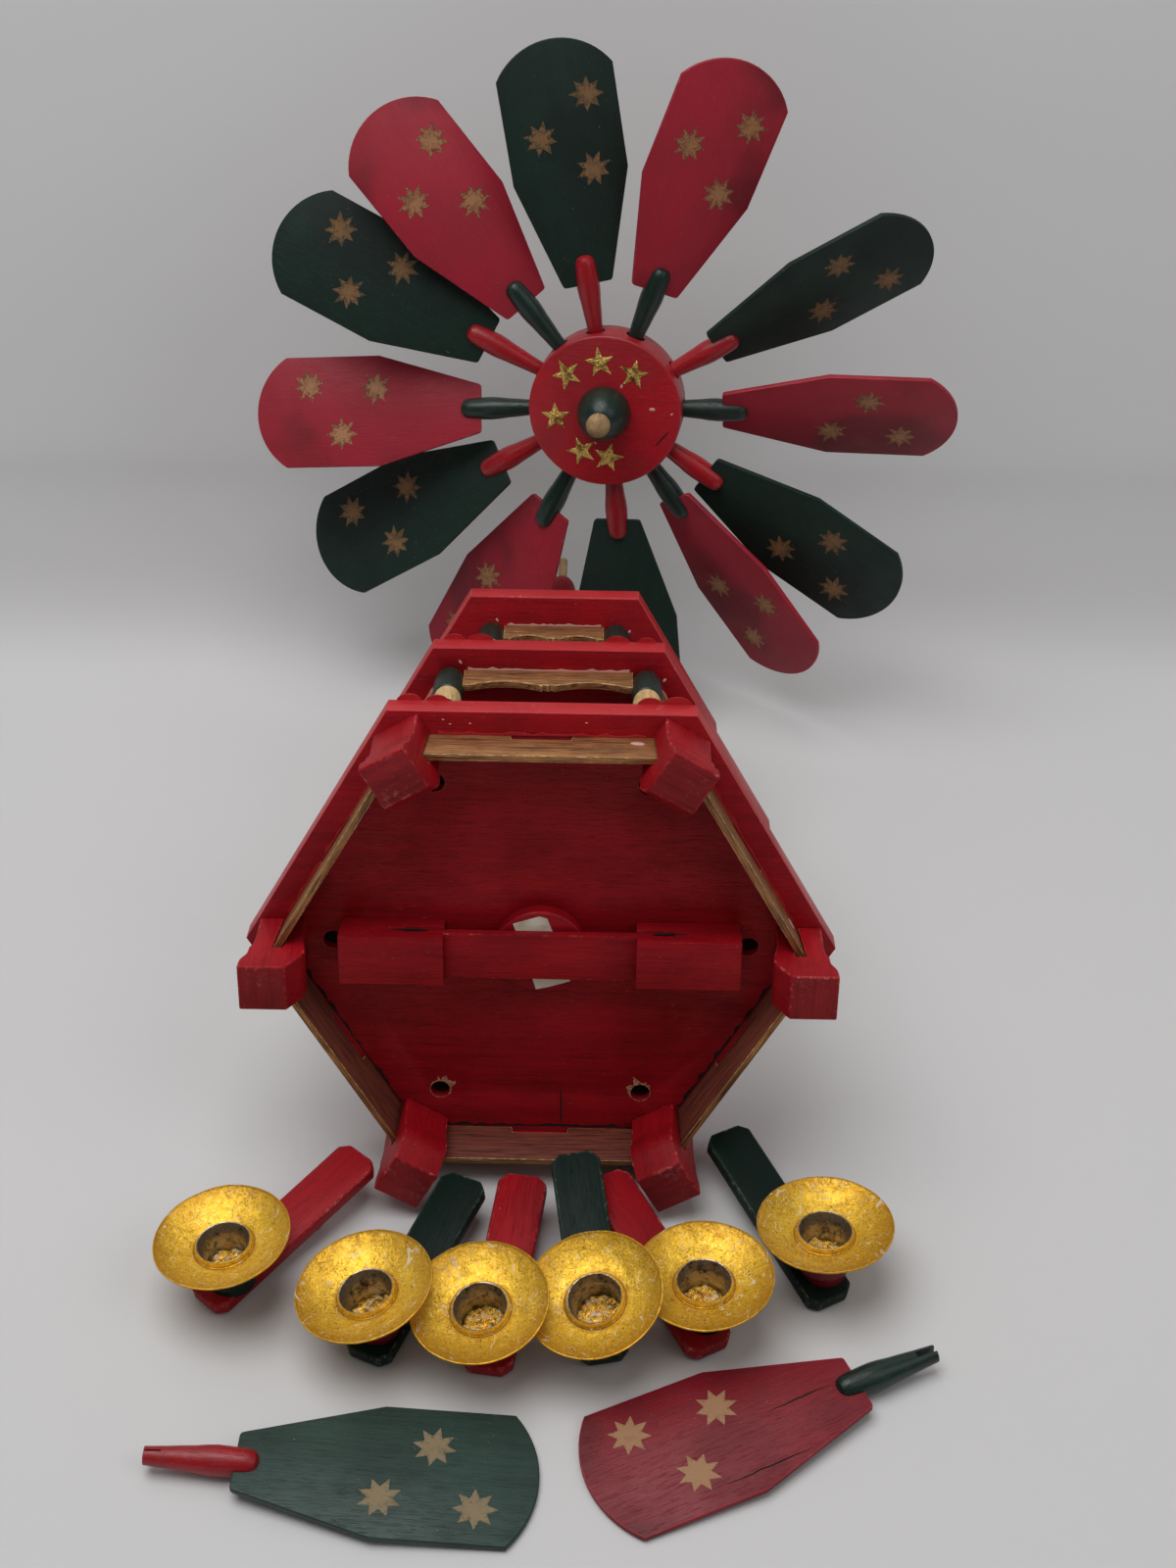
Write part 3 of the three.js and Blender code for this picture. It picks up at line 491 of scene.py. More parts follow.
def piece(name, mesh_or_bm, place, body, looks, slot=None, sharp=25, stands_for=()):
    """Puts a mesh in its place as a piece of that body."""
    mesh = mesh_or_bm
    if isinstance(mesh_or_bm, bmesh.types.BMesh):
        mesh = bpy.data.meshes.new(name)
        mesh_or_bm.to_mesh(mesh)
        mesh_or_bm.free()
    for look in looks:
        mesh.materials.append(LOOKS[look])
    mesh.shade_smooth()
    mesh.set_sharp_from_angle(angle=math.radians(sharp))
    made = bpy.data.objects.new(name, mesh)
    bpy.context.scene.collection.objects.link(made)
    made.matrix_world = place
    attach(made, body)
    if stands_for:
        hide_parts(*stands_for)
    return made


def settle(made):
    """Turns what the modifiers of a piece make into its mesh."""
    made.data.update()
    ready = made.evaluated_get(bpy.context.evaluated_depsgraph_get())
    mesh = bpy.data.meshes.new_from_object(ready)
    made.modifiers.clear()
    made.data = mesh
    return made


def rounded(made, width, segments=2, limit=35, edge_look=1):
    """Rounds the edges of a board. The rounding shows the look at edge_look, by default its second one, the
    worn one; on the decks it is worn paint and a painted highlight.
    """
    bevel = made.modifiers.new("edges", "BEVEL")
    bevel.width = width * MM
    bevel.segments = segments
    bevel.limit_method = "ANGLE"
    bevel.angle_limit = math.radians(limit)
    bevel.material = edge_look
    settle(made)
    made.data.set_sharp_from_angle(angle=math.radians(25))
    return made


def loose(name, bm):
    """A mesh that only cuts another and then goes."""
    mesh = bpy.data.meshes.new(name)
    bm.to_mesh(mesh)
    bm.free()
    made = bpy.data.objects.new(name, mesh)
    bpy.context.scene.collection.objects.link(made)
    return made


def carve(made, tools):
    """Cuts tools, meshes in the piece's own frame, out of the piece."""
    cutters = []
    for bm in tools:
        cutter = loose("cutter", bm)
        cutter.matrix_world = made.matrix_world
        cut = made.modifiers.new("cut", "BOOLEAN")
        cut.operation = "DIFFERENCE"
        cut.solver = "EXACT"
        cut.object = cutter
        cutters.append(cutter)
    bpy.context.view_layer.update()
    settle(made)
    for cutter in cutters:
        mesh = cutter.data
        bpy.data.objects.remove(cutter)
        bpy.data.meshes.remove(mesh)
    return made


def lathe(profile, segments=40, breaks=()):
    """A turned solid from pairs of radius and height. breaks are heights at which the next look starts."""
    bm = bmesh.new()
    rings = []
    for radius, height in profile:
        if radius <= 1e-6:
            rings.append([bm.verts.new((0, 0, height * MM))])
            continue
        ring = []
        for i in range(segments):
            a = 2 * math.pi * i / segments
            ring.append(bm.verts.new((radius * MM * math.cos(a), radius * MM * math.sin(a), height * MM)))
        rings.append(ring)
    for (low, high), (start, end) in zip(zip(rings, rings[1:]), zip(profile, profile[1:])):
        look = sum((start[1] + end[1]) / 2 > b for b in breaks)
        for i in range(segments):
            j = (i + 1) % segments
            if len(low) == 1:
                face = bm.faces.new((low[0], high[j], high[i]))
            elif len(high) == 1:
                face = bm.faces.new((low[i], low[j], high[0]))
            else:
                face = bm.faces.new((low[i], low[j], high[j], high[i]))
            face.material_index = look
    bmesh.ops.recalc_face_normals(bm, faces=bm.faces)
    return bm


def rod(radius, low, high, segments=32):
    return lathe([(0, low), (radius, low), (radius, high), (0, high)], segments)


def prism(outline, low, high):
    """A board: its outline in X and Y, from low up to high."""
    bm = bmesh.new()
    bottom = [bm.verts.new((x * MM, y * MM, low * MM)) for x, y in outline]
    top = [bm.verts.new((x * MM, y * MM, high * MM)) for x, y in outline]
    bm.faces.new(bottom[::-1])
    bm.faces.new(top)
    count = len(outline)
    for i in range(count):
        j = (i + 1) % count
        bm.faces.new((bottom[i], bottom[j], top[j], top[i]))
    bmesh.ops.recalc_face_normals(bm, faces=bm.faces)
    return bm


def block(x0, x1, y0, y1, z0, z1):
    return prism([(x0, y0), (x1, y0), (x1, y1), (x0, y1)], z0, z1)


def set_at(bm, matrix):
    bm.transform(matrix)
    return bm


def smooth_line(points, steps=4):
    """A smooth line through points, without its last point."""
    made = []
    ends = [Vector(p) for p in (points[0], *points, points[-1])]
    for a, b, c, d in zip(ends, ends[1:], ends[2:], ends[3:]):
        for i in range(steps):
            t = i / steps
            rise = (c - a) * t + (2 * a - 5 * b + 4 * c - d) * t ** 2 + (3 * b - a - 3 * c + d) * t ** 3
            made.append(tuple(b + rise / 2))
    return made


def hexagon(corner):
    turns = [math.radians(60 * i) for i in range(6)]
    return [(corner * math.cos(a), corner * math.sin(a)) for a in turns]


def star(tips, outer, inner, thick, rise, turned_by, wobble, seed):
    """A flat star with tips points. Its middle stands rise higher; inset is 1 there and 0 at the edge."""
    dice = random.Random(seed)
    bm = bmesh.new()
    inset = bm.verts.layers.float.new("inset")
    edge = []
    for i in range(2 * tips):
        a = math.radians(turned_by) + math.pi * i / tips
        radius = (outer if i % 2 == 0 else inner) * (1 + dice.uniform(-wobble, wobble))
        edge.append((radius * MM * math.cos(a), radius * MM * math.sin(a)))
    low = [bm.verts.new((x, y, 0)) for x, y in edge]
    top = [bm.verts.new((x, y, thick * MM)) for x, y in edge]
    middle = bm.verts.new((0, 0, (thick + rise) * MM))
    bm.faces.new(low[::-1])
    middle[inset] = 1.0
    for i in range(2 * tips):
        j = (i + 1) % (2 * tips)
        bm.faces.new((low[i], low[j], top[j], top[i]))
        bm.faces.new((top[i], top[j], middle))
    bmesh.ops.recalc_face_normals(bm, faces=bm.faces)
    return bm


# What a user would change


class PyramidColours(bpy.types.PropertyGroup):
    red: bpy.props.FloatVectorProperty(
        name="Red", description="Red paint", subtype="COLOR", min=0, max=1, default=tint(160, 14, 26)[:3])
    green: bpy.props.FloatVectorProperty(
        name="Green", description="Green paint", subtype="COLOR", min=0, max=1, default=tint(15, 42, 33)[:3])
    bronze: bpy.props.FloatVectorProperty(
        name="Bronze", description="Rails and fascia boards", subtype="COLOR", min=0, max=1,
        default=tint(192, 136, 86)[:3])
    gold: bpy.props.FloatVectorProperty(
        name="Gold", description="Drip dishes", subtype="COLOR", min=0, max=1,
        default=tint(248, 198, 58)[:3])
    wood: bpy.props.FloatVectorProperty(
        name="Bare wood", description="Tenons and tips", subtype="COLOR", min=0, max=1,
        default=tint(216, 182, 132)[:3])
    floor: bpy.props.FloatVectorProperty(
        name="Floor", description="Floor and backdrop", subtype="COLOR", min=0, max=1,
        default=tint(208, 207, 207)[:3])


class PyramidSizes(bpy.types.PropertyGroup):
    deck_thick: bpy.props.FloatProperty(
        name="Deck", description="Thickness of a deck", subtype="DISTANCE", unit="LENGTH", default=8 * MM)
    deck_edge: bpy.props.FloatProperty(
        name="Deck edge", description="Rounding of a deck's edges", subtype="DISTANCE", unit="LENGTH",
        default=0.5 * MM)
    foot_length: bpy.props.FloatProperty(
        name="Foot", description="Height of a foot", subtype="DISTANCE", unit="LENGTH", default=30.5 * MM)
    rail_height: bpy.props.FloatProperty(
        name="Rail", description="Height of a base rail", subtype="DISTANCE", unit="LENGTH",
        default=16.5 * MM)
    blade_length: bpy.props.FloatProperty(
        name="Blade", description="Length of a blade's board", subtype="DISTANCE", unit="LENGTH",
        default=95.4 * MM)
    blade_width: bpy.props.FloatProperty(
        name="Blade width", description="Width of a blade's board", subtype="DISTANCE", unit="LENGTH",
        default=46 * MM)
    star_size: bpy.props.FloatProperty(
        name="Stencil star", description="Width of a stencilled star", subtype="DISTANCE", unit="LENGTH",
        default=14 * MM)
    foil_star_size: bpy.props.FloatProperty(
        name="Foil star", description="Width of a foil star", subtype="DISTANCE", unit="LENGTH",
        default=13 * MM)
    dish_width: bpy.props.FloatProperty(
        name="Dish", description="Width of a drip dish", subtype="DISTANCE", unit="LENGTH",
        default=44.4 * MM)
    light: bpy.props.FloatProperty(
        name="Light", description="Strength of the studio light", default=1.0, min=0.0, soft_max=2.0)


def sizes():
    return bpy.context.scene.pyramid_sizes


def drop(name, place, body, width, height, look="old_glue"):
    """A dried drop of glue or paint, longer than it is wide."""
    bm = lathe([(0, -0.05), (width, -0.05), (0.8 * width, 0.55 * height), (0.4 * width, 0.9 * height),
                (0, height)], 16)
    bmesh.ops.scale(bm, vec=(1, 0.55, 1), verts=bm.verts)
    return piece(name, bm, place, body, [look], "red_paint" if look == "lit_red_rim" else None)


def ragged_line(name, place, near, half, widths, heights, look, seed):
    """An uneven line along a board, on the face of a deck: glue, paint or a dark line."""
    dice = random.Random(seed)
    steps = 26
    least, most = widths
    inner, outer = [], []
    for k in range(steps + 1):
        y = -half + 2 * half * k / steps
        inner.append((near, y))
        outer.append((near + least + (most - least) * dice.random() ** 2, y))
    return piece(name, prism(inner + outer[::-1], *heights), place, "pyramid_body", [look], "red_paint")


# Decks and what is glued to them


def deck(name, corner, z, holes, body_frame, looks, stands_for):
    made = piece(name, prism(hexagon(corner), 0, sizes().deck_thick / MM), body_frame @ move(0, 0, z),
                 "pyramid_body", looks, "red_paint", stands_for=stands_for)
    # The side faces take the lighter red: painted light along the decks' edges
    for face in made.data.polygons:
        if abs(face.normal.z) < 0.1:
            face.material_index = 1
    carve(made, holes)
    # The rounded edges take the third look: worn paint and a painted highlight
    return rounded(made, sizes().deck_edge / MM, edge_look=2)


def at_corners(radius, turned_by=0):
    return [(radius, 60 * i + turned_by) for i in range(6)]


def hole_at(radius, where, low, high):
    r, angle = where
    return set_at(rod(radius, low, high, 24), turn("Z", angle) @ move(r, 0, 0))


def pads(name, corner, circle, z):
    """Low domes of paint-covered wood on top of a deck, by its corners and its pillars."""
    bm = bmesh.new()
    for i in range(6):
        side = -1 if i % 2 == 0 else 1
        for radius, angle, width in ((corner - 17, 60 * i, 5.5), (circle + 9.2, 60 * i + side * 5.4, 4.2)):
            profile = [(0, -0.05), (width, -0.05)]
            for k in range(1, 7):
                a = math.radians(15 * k)
                profile.append((width * math.cos(a) ** 0.7 if k < 6 else 0, 2 * math.sin(a)))
            dome = set_at(lathe(profile, 28), turn("Z", angle) @ move(radius, 0, z + 8))
            mesh = bpy.data.meshes.new("dome")
            dome.to_mesh(mesh)
            dome.free()
            bm.from_mesh(mesh)
            bpy.data.meshes.remove(mesh)
    return piece(name, bm, BODY, "pyramid_body", ["red_board"], "red_paint")


def fascia(name, circle, z, side, body):
    """The scalloped board under a deck's edge: two arcs that meet at a bracket."""
    half = circle / 2 - 4.5 - GAP
    outline = [(-half, -0.05), (-half, -12.5)]
    for start, end in ((-half + 2.4, -2.2), (2.2, half - 2.4)):
        for i in range(11):
            t = i / 10
            outline.append((start + t * (end - start), -12.5 + 3.2 * math.sin(math.pi * t) ** 0.8))
        if start < 0:
            outline += [(-1.4, -11.4), (0, -12.2), (1.4, -11.4)]
    outline += [(half, -12.5), (half, -0.05)]
    place = BODY @ turn("Z", 60 * side + 30) @ move(flat(circle) + 1.5, 0, z) @ UPRIGHT_BOARD
    made = piece(name, prism(outline, -1.25, 1.25), place, body, ["bronze_board", "bronze_worn_and_highlight_edge"],
                 "bronze_paint")
    return rounded(made, 0.3)


def torn_rim(name, radius, where, seed):
    """Splintered bare wood round a drilled hole, on the underside of the base deck."""
    dice = random.Random(seed)
    bm = bmesh.new()
    rows = []
    for low in (-0.09, -0.01):
        row = []
        for i in range(40):
            a = 2 * math.pi * i / 40
            splinter = noise.noise(Vector((3 * math.cos(a), 3 * math.sin(a), seed))) + 0.25
            share = max(0, 0.1 - math.cos(a))
            for r in (radius - 0.1, radius + 0.1 + share * (3.4 * max(0, splinter) + dice.uniform(0, 0.6))):
                row.append(bm.verts.new((r * MM * math.cos(a), r * MM * math.sin(a), low * MM)))
        rows.append(row)
    under, over = rows
    for i in range(0, 80, 2):
        j = (i + 2) % 80
        bm.faces.new((under[i], under[i + 1], under[j + 1], under[j]))
        bm.faces.new((over[i], over[j], over[j + 1], over[i + 1]))
        bm.faces.new((under[i + 1], over[i + 1], over[j + 1], under[j + 1]))
        bm.faces.new((under[i], under[j], over[j], over[i]))
    bmesh.ops.recalc_face_normals(bm, faces=bm.faces)
    r, angle = where
    piece(name, bm, BODY @ turn("Z", angle) @ move(r, 0, 0), "pyramid_body", ["torn_wood"], "red_paint")


class PYRAMID_OT_decks(bpy.types.Operator):
    """Three hexagonal decks with their holes, pads and fascia boards"""

    bl_idname = "pyramid.decks"
    bl_label = "Decks"

    def execute(self, context):
        bore = rod(5, -1, 9)
        mortise = 3.1 + HOLE_GAP
        looks = ["red_board", "lit_red_rim", "worn_and_highlight_edge"]
        holes = [bore, rod(8 + HOLE_GAP, -1, 5 + GAP)]
        holes += [hole_at(mortise, w, -1, 9) for w in at_corners(LOWER_CIRCLE)]
        holes += [hole_at(3.4 + HOLE_GAP, w, 1.5, 9) for w in at_corners(66, 30)]
        deck("base_plate", CORNERS[0], 0, holes, BODY, looks, ["base_deck"])
        for i in (1, 2):
            torn_rim(f"torn_rim_{i}", mortise, (LOWER_CIRCLE, 60 * i), 3 + i)
        holes = [rod(5, -1, 9)]
        holes += [hole_at(mortise, w, -1, 5.3) for w in at_corners(LOWER_CIRCLE)]
        holes += [hole_at(mortise, w, 2.7, 9) for w in at_corners(UPPER_CIRCLE)]
        deck("middle_plate", CORNERS[1], STOREY, holes, BODY, looks, ["middle_deck"])
        deck("top_plate", CORNERS[2], 2 * STOREY, [rod(5, -1, 9)], BODY, looks, ["top_deck"])
        pads("base_pads", CORNERS[0], LOWER_CIRCLE, 0)
        pads("middle_pads", CORNERS[1], UPPER_CIRCLE, STOREY)
        pads("top_pads", CORNERS[2], UPPER_CIRCLE - 4, 2 * STOREY)
        for side in range(6):
            fascia(f"middle_fascia_{side + 1}", LOWER_CIRCLE, STOREY, side, "pyramid_body")
            fascia(f"top_fascia_{side + 1}", UPPER_CIRCLE, 2 * STOREY, side, "pyramid_body")
            for storey, circle in ((1, LOWER_CIRCLE), (2, UPPER_CIRCLE)):
                place = BODY @ turn("Z", 60 * side + 30) @ move(0, 0, storey * STOREY)
                ragged_line(f"fascia_glue_{storey}_{side + 1}", place, flat(circle) + 2.7, circle / 2 - 6,
                            (0.3, 1.1), (-0.3, -0.01), "old_glue", 60 + 6 * storey + side)
                spot = turn("Z", 60 * side + 4.5) @ move(circle + 3.2, 0, storey * STOREY) @ turn("X", 180)
                drop(f"pillar_glue_{storey}_{side + 1}", BODY @ spot, "pyramid_body", 0.9, 0.25)
        for storey, circle in ((0, LOWER_CIRCLE), (1, UPPER_CIRCLE)):
            self.paint_lumps(storey, circle / 2)
        for i, (x, y) in enumerate(((-31, -81.5), (-28.8, -80), (-22.5, -80.3), (14, -81.2), (38, -78.5))):
            drop(f"deck_speck_{i + 1}", BODY @ move(x, y, 0) @ turn("X", 180), "pyramid_body", 0.45, 0.2)
        return {"FINISHED"}

    def paint_lumps(self, storey, pillar):
        """Thick paint that ran together on a deck's upper edge, by its pillars and corners."""
        dice = random.Random(80 + storey)
        corner = CORNERS[storey]
        for i, y in enumerate((7 - corner / 2, -pillar, pillar, corner / 2 - 7)):
            aside = y + dice.uniform(-1, 1)
            spot = move(flat(corner) - 0.2, aside, storey * STOREY + 7.9) @ turn("Z", 90)
            drop(f"paint_lump_{storey}_{i + 1}", BODY @ turn("Z", 270) @ spot, "pyramid_body",
                 dice.uniform(3, 5), dice.uniform(2, 3), "lit_red_rim")


# Feet and rails


def rail_end():
    middle = RAIL_OUTER - RAIL_THICK / 2
    return (middle * math.sin(math.radians(30)) - 8.1) / math.cos(math.radians(30)) + 3.4


def foot_outline(length):
    inner = [(0.3, -7.5), (0.36 * length, -7.8), (0.5 * length, -8.6), (0.58 * length, -9.1),
             (0.66 * length, -9.4), (0.76 * length, -8.7), (0.86 * length, -6.8), (length, -4.2)]
    outer = [(length, 11), (0.84 * length, 10.7), (0.72 * length, 9), (0.6 * length, 8.7),
             (0.46 * length, 7.5), (0.3, 7.5)]
    return smooth_line(inner, 3) + [inner[-1]] + smooth_line(outer, 3) + [outer[-1]]


class PYRAMID_OT_feet(bpy.types.Operator):
    """Six shaped feet with saw slots, and the rails that enter them"""

    bl_idname = "pyramid.feet"
    bl_label = "Feet and rails"

    def execute(self, context):
        length = sizes().foot_length / MM
        height = sizes().rail_height / MM
        for i in range(6):
            place = BODY @ turn("Z", 60 * i) @ move(FOOT_CIRCLE, 0, 0) @ HANGING_BOARD
            made = piece(f"foot_block_{i + 1}", prism(foot_outline(length), -8.1, 8.1), place,
                         "pyramid_body", ["red_board", "red_board_edge", "red_end_grain"], "red_paint",
                         stands_for=[f"foot_{i + 1}"])
            for face in made.data.polygons:
                if face.normal.x > 0.9:
                    face.material_index = 2
            tools = []
            for side in (1, -1):
                start = FOOT_CIRCLE * math.sin(math.radians(30)) - 16.2
                ends = sorted((side * start, side * (rail_end() + GAP)))
                slot = block(-RAIL_THICK - GAP, GAP, *ends, -height - 1.5, 1)
                tools.append(set_at(slot, place.inverted() @ BODY @ rail_frame(60 * i - side * 30)))
            carve(made, tools)
            rounded(made, 0.6, 3)
            self.rail(i, height)
        return {"FINISHED"}

    def rail(self, i, height):
        end = rail_end()
        outline = [(-end, -height - GAP), (end, -height - GAP), (end, -GAP), (9.8, -GAP), (9.2, -3.1),
                   (-9.2, -3.1), (-9.8, -GAP), (-end, -GAP)]
        half = RAIL_THICK / 2
        place = BODY @ rail_frame(60 * i + 30) @ move(-half, 0, 0) @ UPRIGHT_BOARD
        made = piece(f"rail_{i + 1}", prism(outline, -half, half), place, "pyramid_body",
                     ["bronze_board", "bronze_worn_and_highlight_edge", "shaded_rail_inside"], "bronze_paint",
                     stands_for=[f"base_rail_{i + 1}"])
        # The inner faces take the third look: painted shade
        for face in made.data.polygons:
            if face.normal.z < -0.9:
                face.material_index = 2
        rounded(made, 0.2)
        side = BODY @ turn("Z", 60 * i + 30)
        # A dark uneven line on the deck, along the rail's inner foot
        ragged_line(f"glue_line_{i + 1}", side, RAIL_OUTER - RAIL_THICK - 0.2, end - 5, (-0.4, -1.7),
                    (-0.06, -0.01), "dark_mark_and_gap_shade", 40 + i)
        ragged_line(f"paint_line_{i + 1}", side, RAIL_OUTER + 0.1, end - 5, (0.2, 1.2), (-0.4, -0.01),
                    "lit_red_rim", 50 + i)
        outer = BODY @ rail_frame(60 * i + 30) @ move(-0.05, end - 7.5, -5.2) @ turn("Y", 90)
        drop(f"rail_glue_{i + 1}", outer @ turn("Z", 80), "pyramid_body", 2.6 - 0.25 * abs(i - 4), 0.3)


# The bearing under the base deck


class PYRAMID_OT_bearing(bpy.types.Operator):
    """The round plug with its glass cup, its plain label, the slat and its two blocks"""

    bl_idname = "pyramid.bearing"
    bl_label = "Bearing"

    def execute(self, context):
        looks = ["red_board", "red_board_edge"]
        top = -5.3 - 2 * GAP
        bottom = top - 3
        slat = piece("slat", block(-43.5, 43.5, -8.5, 8.5, bottom, top), BODY, "pyramid_body", looks,
                     "red_paint", stands_for=["bearing_slat"])
        rounded(slat, 0.4)
        for side, name in ((0, "right"), (180, "left")):
            made = piece(f"block_{name}", block(31.5, 65.5, -8.9, 8.9, -12.7, -GAP), BODY @ turn("Z", side),
                         "pyramid_body", looks, "red_paint", stands_for=[f"slat_block_{name}"])
            slot = block(30.5, 43.8, -17.8, 17.8, bottom - GAP, top + GAP)
            saw_run = block(39.8, 49.3, 8.8, 17.8, bottom, top)
            carve(made, [slot, saw_run])
            rounded(made, 0.5)
            # Painted shade: a thin dark sheet on the block's face, for the shade in a saw slit
            way = -1 if side else 1
            outline = [(36.5, -7.2), (39, -6.8), (44, -6.7), (47.6, -7.1), (48.2, -7.5), (45, -7.8),
                       (40, -8.1), (37, -7.8)]
            slit = prism([(way * x, z) for x, z in outline], 0, 0.03)
            piece(f"saw_slit_{name}", slit, BODY @ move(0, -8.9, 0) @ axes((1, 0, 0), (0, 0, 1), (0, -1, 0)),
                  "pyramid_body", ["dark_mark_and_gap_shade"], "red_paint")
        plug = lathe([(0, 5), (8, 5), (8, 0), (8, -GAP), (14.7, -GAP), (15.2, -GAP - 0.5),
                      (15.2, -5.1), (14.7, -5.6), (0, -5.6)], 72)
        made = piece("plug", plug, BODY, "pyramid_body", ["red_board"], "red_paint",
                     stands_for=["bearing_plug"])
        carve(made, [rod(4.6 + HOLE_GAP, 0.2, 6)])
        scratch = [(6.8, 58), (7.1, 58), (7.5, 64), (7.4, 72), (6.9, 72), (6.9, 64)]
        piece("deck_scratch", prism(scratch, -0.03, 0.01), BODY, "pyramid_body", ["dark_mark_and_gap_shade"], "red_paint")
        cup = lathe([(0, 0.5), (4.6, 0.5), (4.6, 5), (3.4, 5), (3.3, 3.6), (2.7, 2.4), (1.5, 1.9),
                     (0, 1.7)], 32)
        piece("glass_cup", cup, BODY, "pyramid_body", ["bearing_glass"], "clear_glass",
              stands_for=["bearing_cup"])
        sheet = [(-5.6, -13.2), (3.4, -13.4), (5.7, -11.8), (6, -3), (5.8, 13.2), (-2, 13.3), (-6, 13)]
        label = set_at(prism(sheet, -5.78, -5.64), move(0.4, 0.1, 0) @ turn("Z", -17.6))
        piece("paper_label", label, BODY, "pyramid_body", ["label_paper"])
        return {"FINISHED"}


# Pillars and spindle


def pillar_profile(z0, z1, low, high):
    bead = z1 - 22
    made = [(0, z0 - low), (3.1, z0 - low), (3.1, z0), (5.1, z0), (5.4, z0 + 0.4), (5.4, z0 + 1.6),
            (5.0, z0 + 2.8), (4.5, z0 + 5), (4.5, z0 + 10), (4.3, bead - 5), (4.7, bead - 3.6),
            (4.9, bead - 1.8), (5.0, bead), (4.9, bead + 1.8), (4.7, bead + 3.6), (4.5, bead + 4.8),
            (4.9, bead + 5.4), (5.2, bead + 7.5), (5.4, bead + 11), (5.4, bead + 15), (5.1, bead + 18),
            (4.5, bead + 20.3), (3.8, z1 - 0.3), (3.4, z1)]
    if high:
        made += [(3.1, z1), (3.1, z1 + high)]
    return made + [(0, z1 + high)]


def breaks(z0, z1):
    """Heights at which a pillar's tenon, bare foot, green shaft, bare bead and green head meet. The tenon is
    near black: painted shade for the hole it sits in.
    """
    return [z0 - 1, z0 + 10, z1 - 26.8, z1 - 17]


class PYRAMID_OT_pillars(bpy.types.Operator):
    """Twelve turned pillars, bare at their feet and beads"""

    bl_idname = "pyramid.pillars"
    bl_label = "Pillars"

    def execute(self, context):
        base = 8 + GAP
        upper = STOREY + 8 + GAP
        # The tenons' near black is painted shade, for the holes the pillars stand in
        looks = ["dark_mark_and_gap_shade", "bare_turned", "green_turned", "bare_turned", "green_gloss"]
        for i in range(6):
            profile = pillar_profile(base, STOREY - GAP, 5, 5)
            piece(f"lower_post_{i + 1}", lathe(profile, 32, breaks(base, STOREY - GAP)),
                  BODY @ turn("Z", 60 * i) @ move(LOWER_CIRCLE, 0, 0), "pyramid_body", looks, "green_paint",
                  stands_for=[f"lower_pillar_{i + 1}"])
            profile = pillar_profile(upper, 2 * STOREY - 0.02, 5, 0)
            piece(f"upper_post_{i + 1}", lathe(profile, 32, breaks(upper, 2 * STOREY)),
                  BODY @ turn("Z", 60 * i) @ move(UPPER_CIRCLE, 0, 0), "pyramid_body", looks, "green_paint")
        return {"FINISHED"}


class PYRAMID_OT_spindle(bpy.types.Operator):
    """The spindle with its pin, bell and tenon, and three turntables on it"""

    bl_idname = "pyramid.spindle"
    bl_label = "Spindle"

    def execute(self, context):
        floor = 2.0
        rod_start = floor + 12
        profile = [(0, floor), (1.6, floor + 1), (1.6, floor + 9), (3.7, rod_start), (3.7, 292),
                   (5.2, 295), (5.9, 297), (6.2, 299), (6.2, 303), (5.8, 306), (5.0, 309), (3.6, 311.4),
                   (2.3, 312), (2, 312.5), (2, 338), (0, 339)]
        piece("spindle_rod", lathe(profile, 40, [floor + 9.5, 312]), BODY, "spindle",
              ["steel_pin", "red_turned", "worn_tip"], "red_paint", stands_for=["spindle"])
        for storey, radius in enumerate((56, 40, 42)):
            z = storey * STOREY + 15
            table = [(4, z), (radius - 0.6, z), (radius, z + 0.6), (radius, z + 3.4), (radius - 0.6, z + 4),
                     (8, z + 4), (7.6, z + 7), (7, z + 9), (4, z + 9), (4, z)]
            piece(f"figure_plate_{storey + 1}", lathe(table, 72), BODY, "spindle", ["red_turned"],
                  "red_paint", stands_for=[f"turntable_{storey + 1}"])
        return {"FINISHED"}


# Rotor


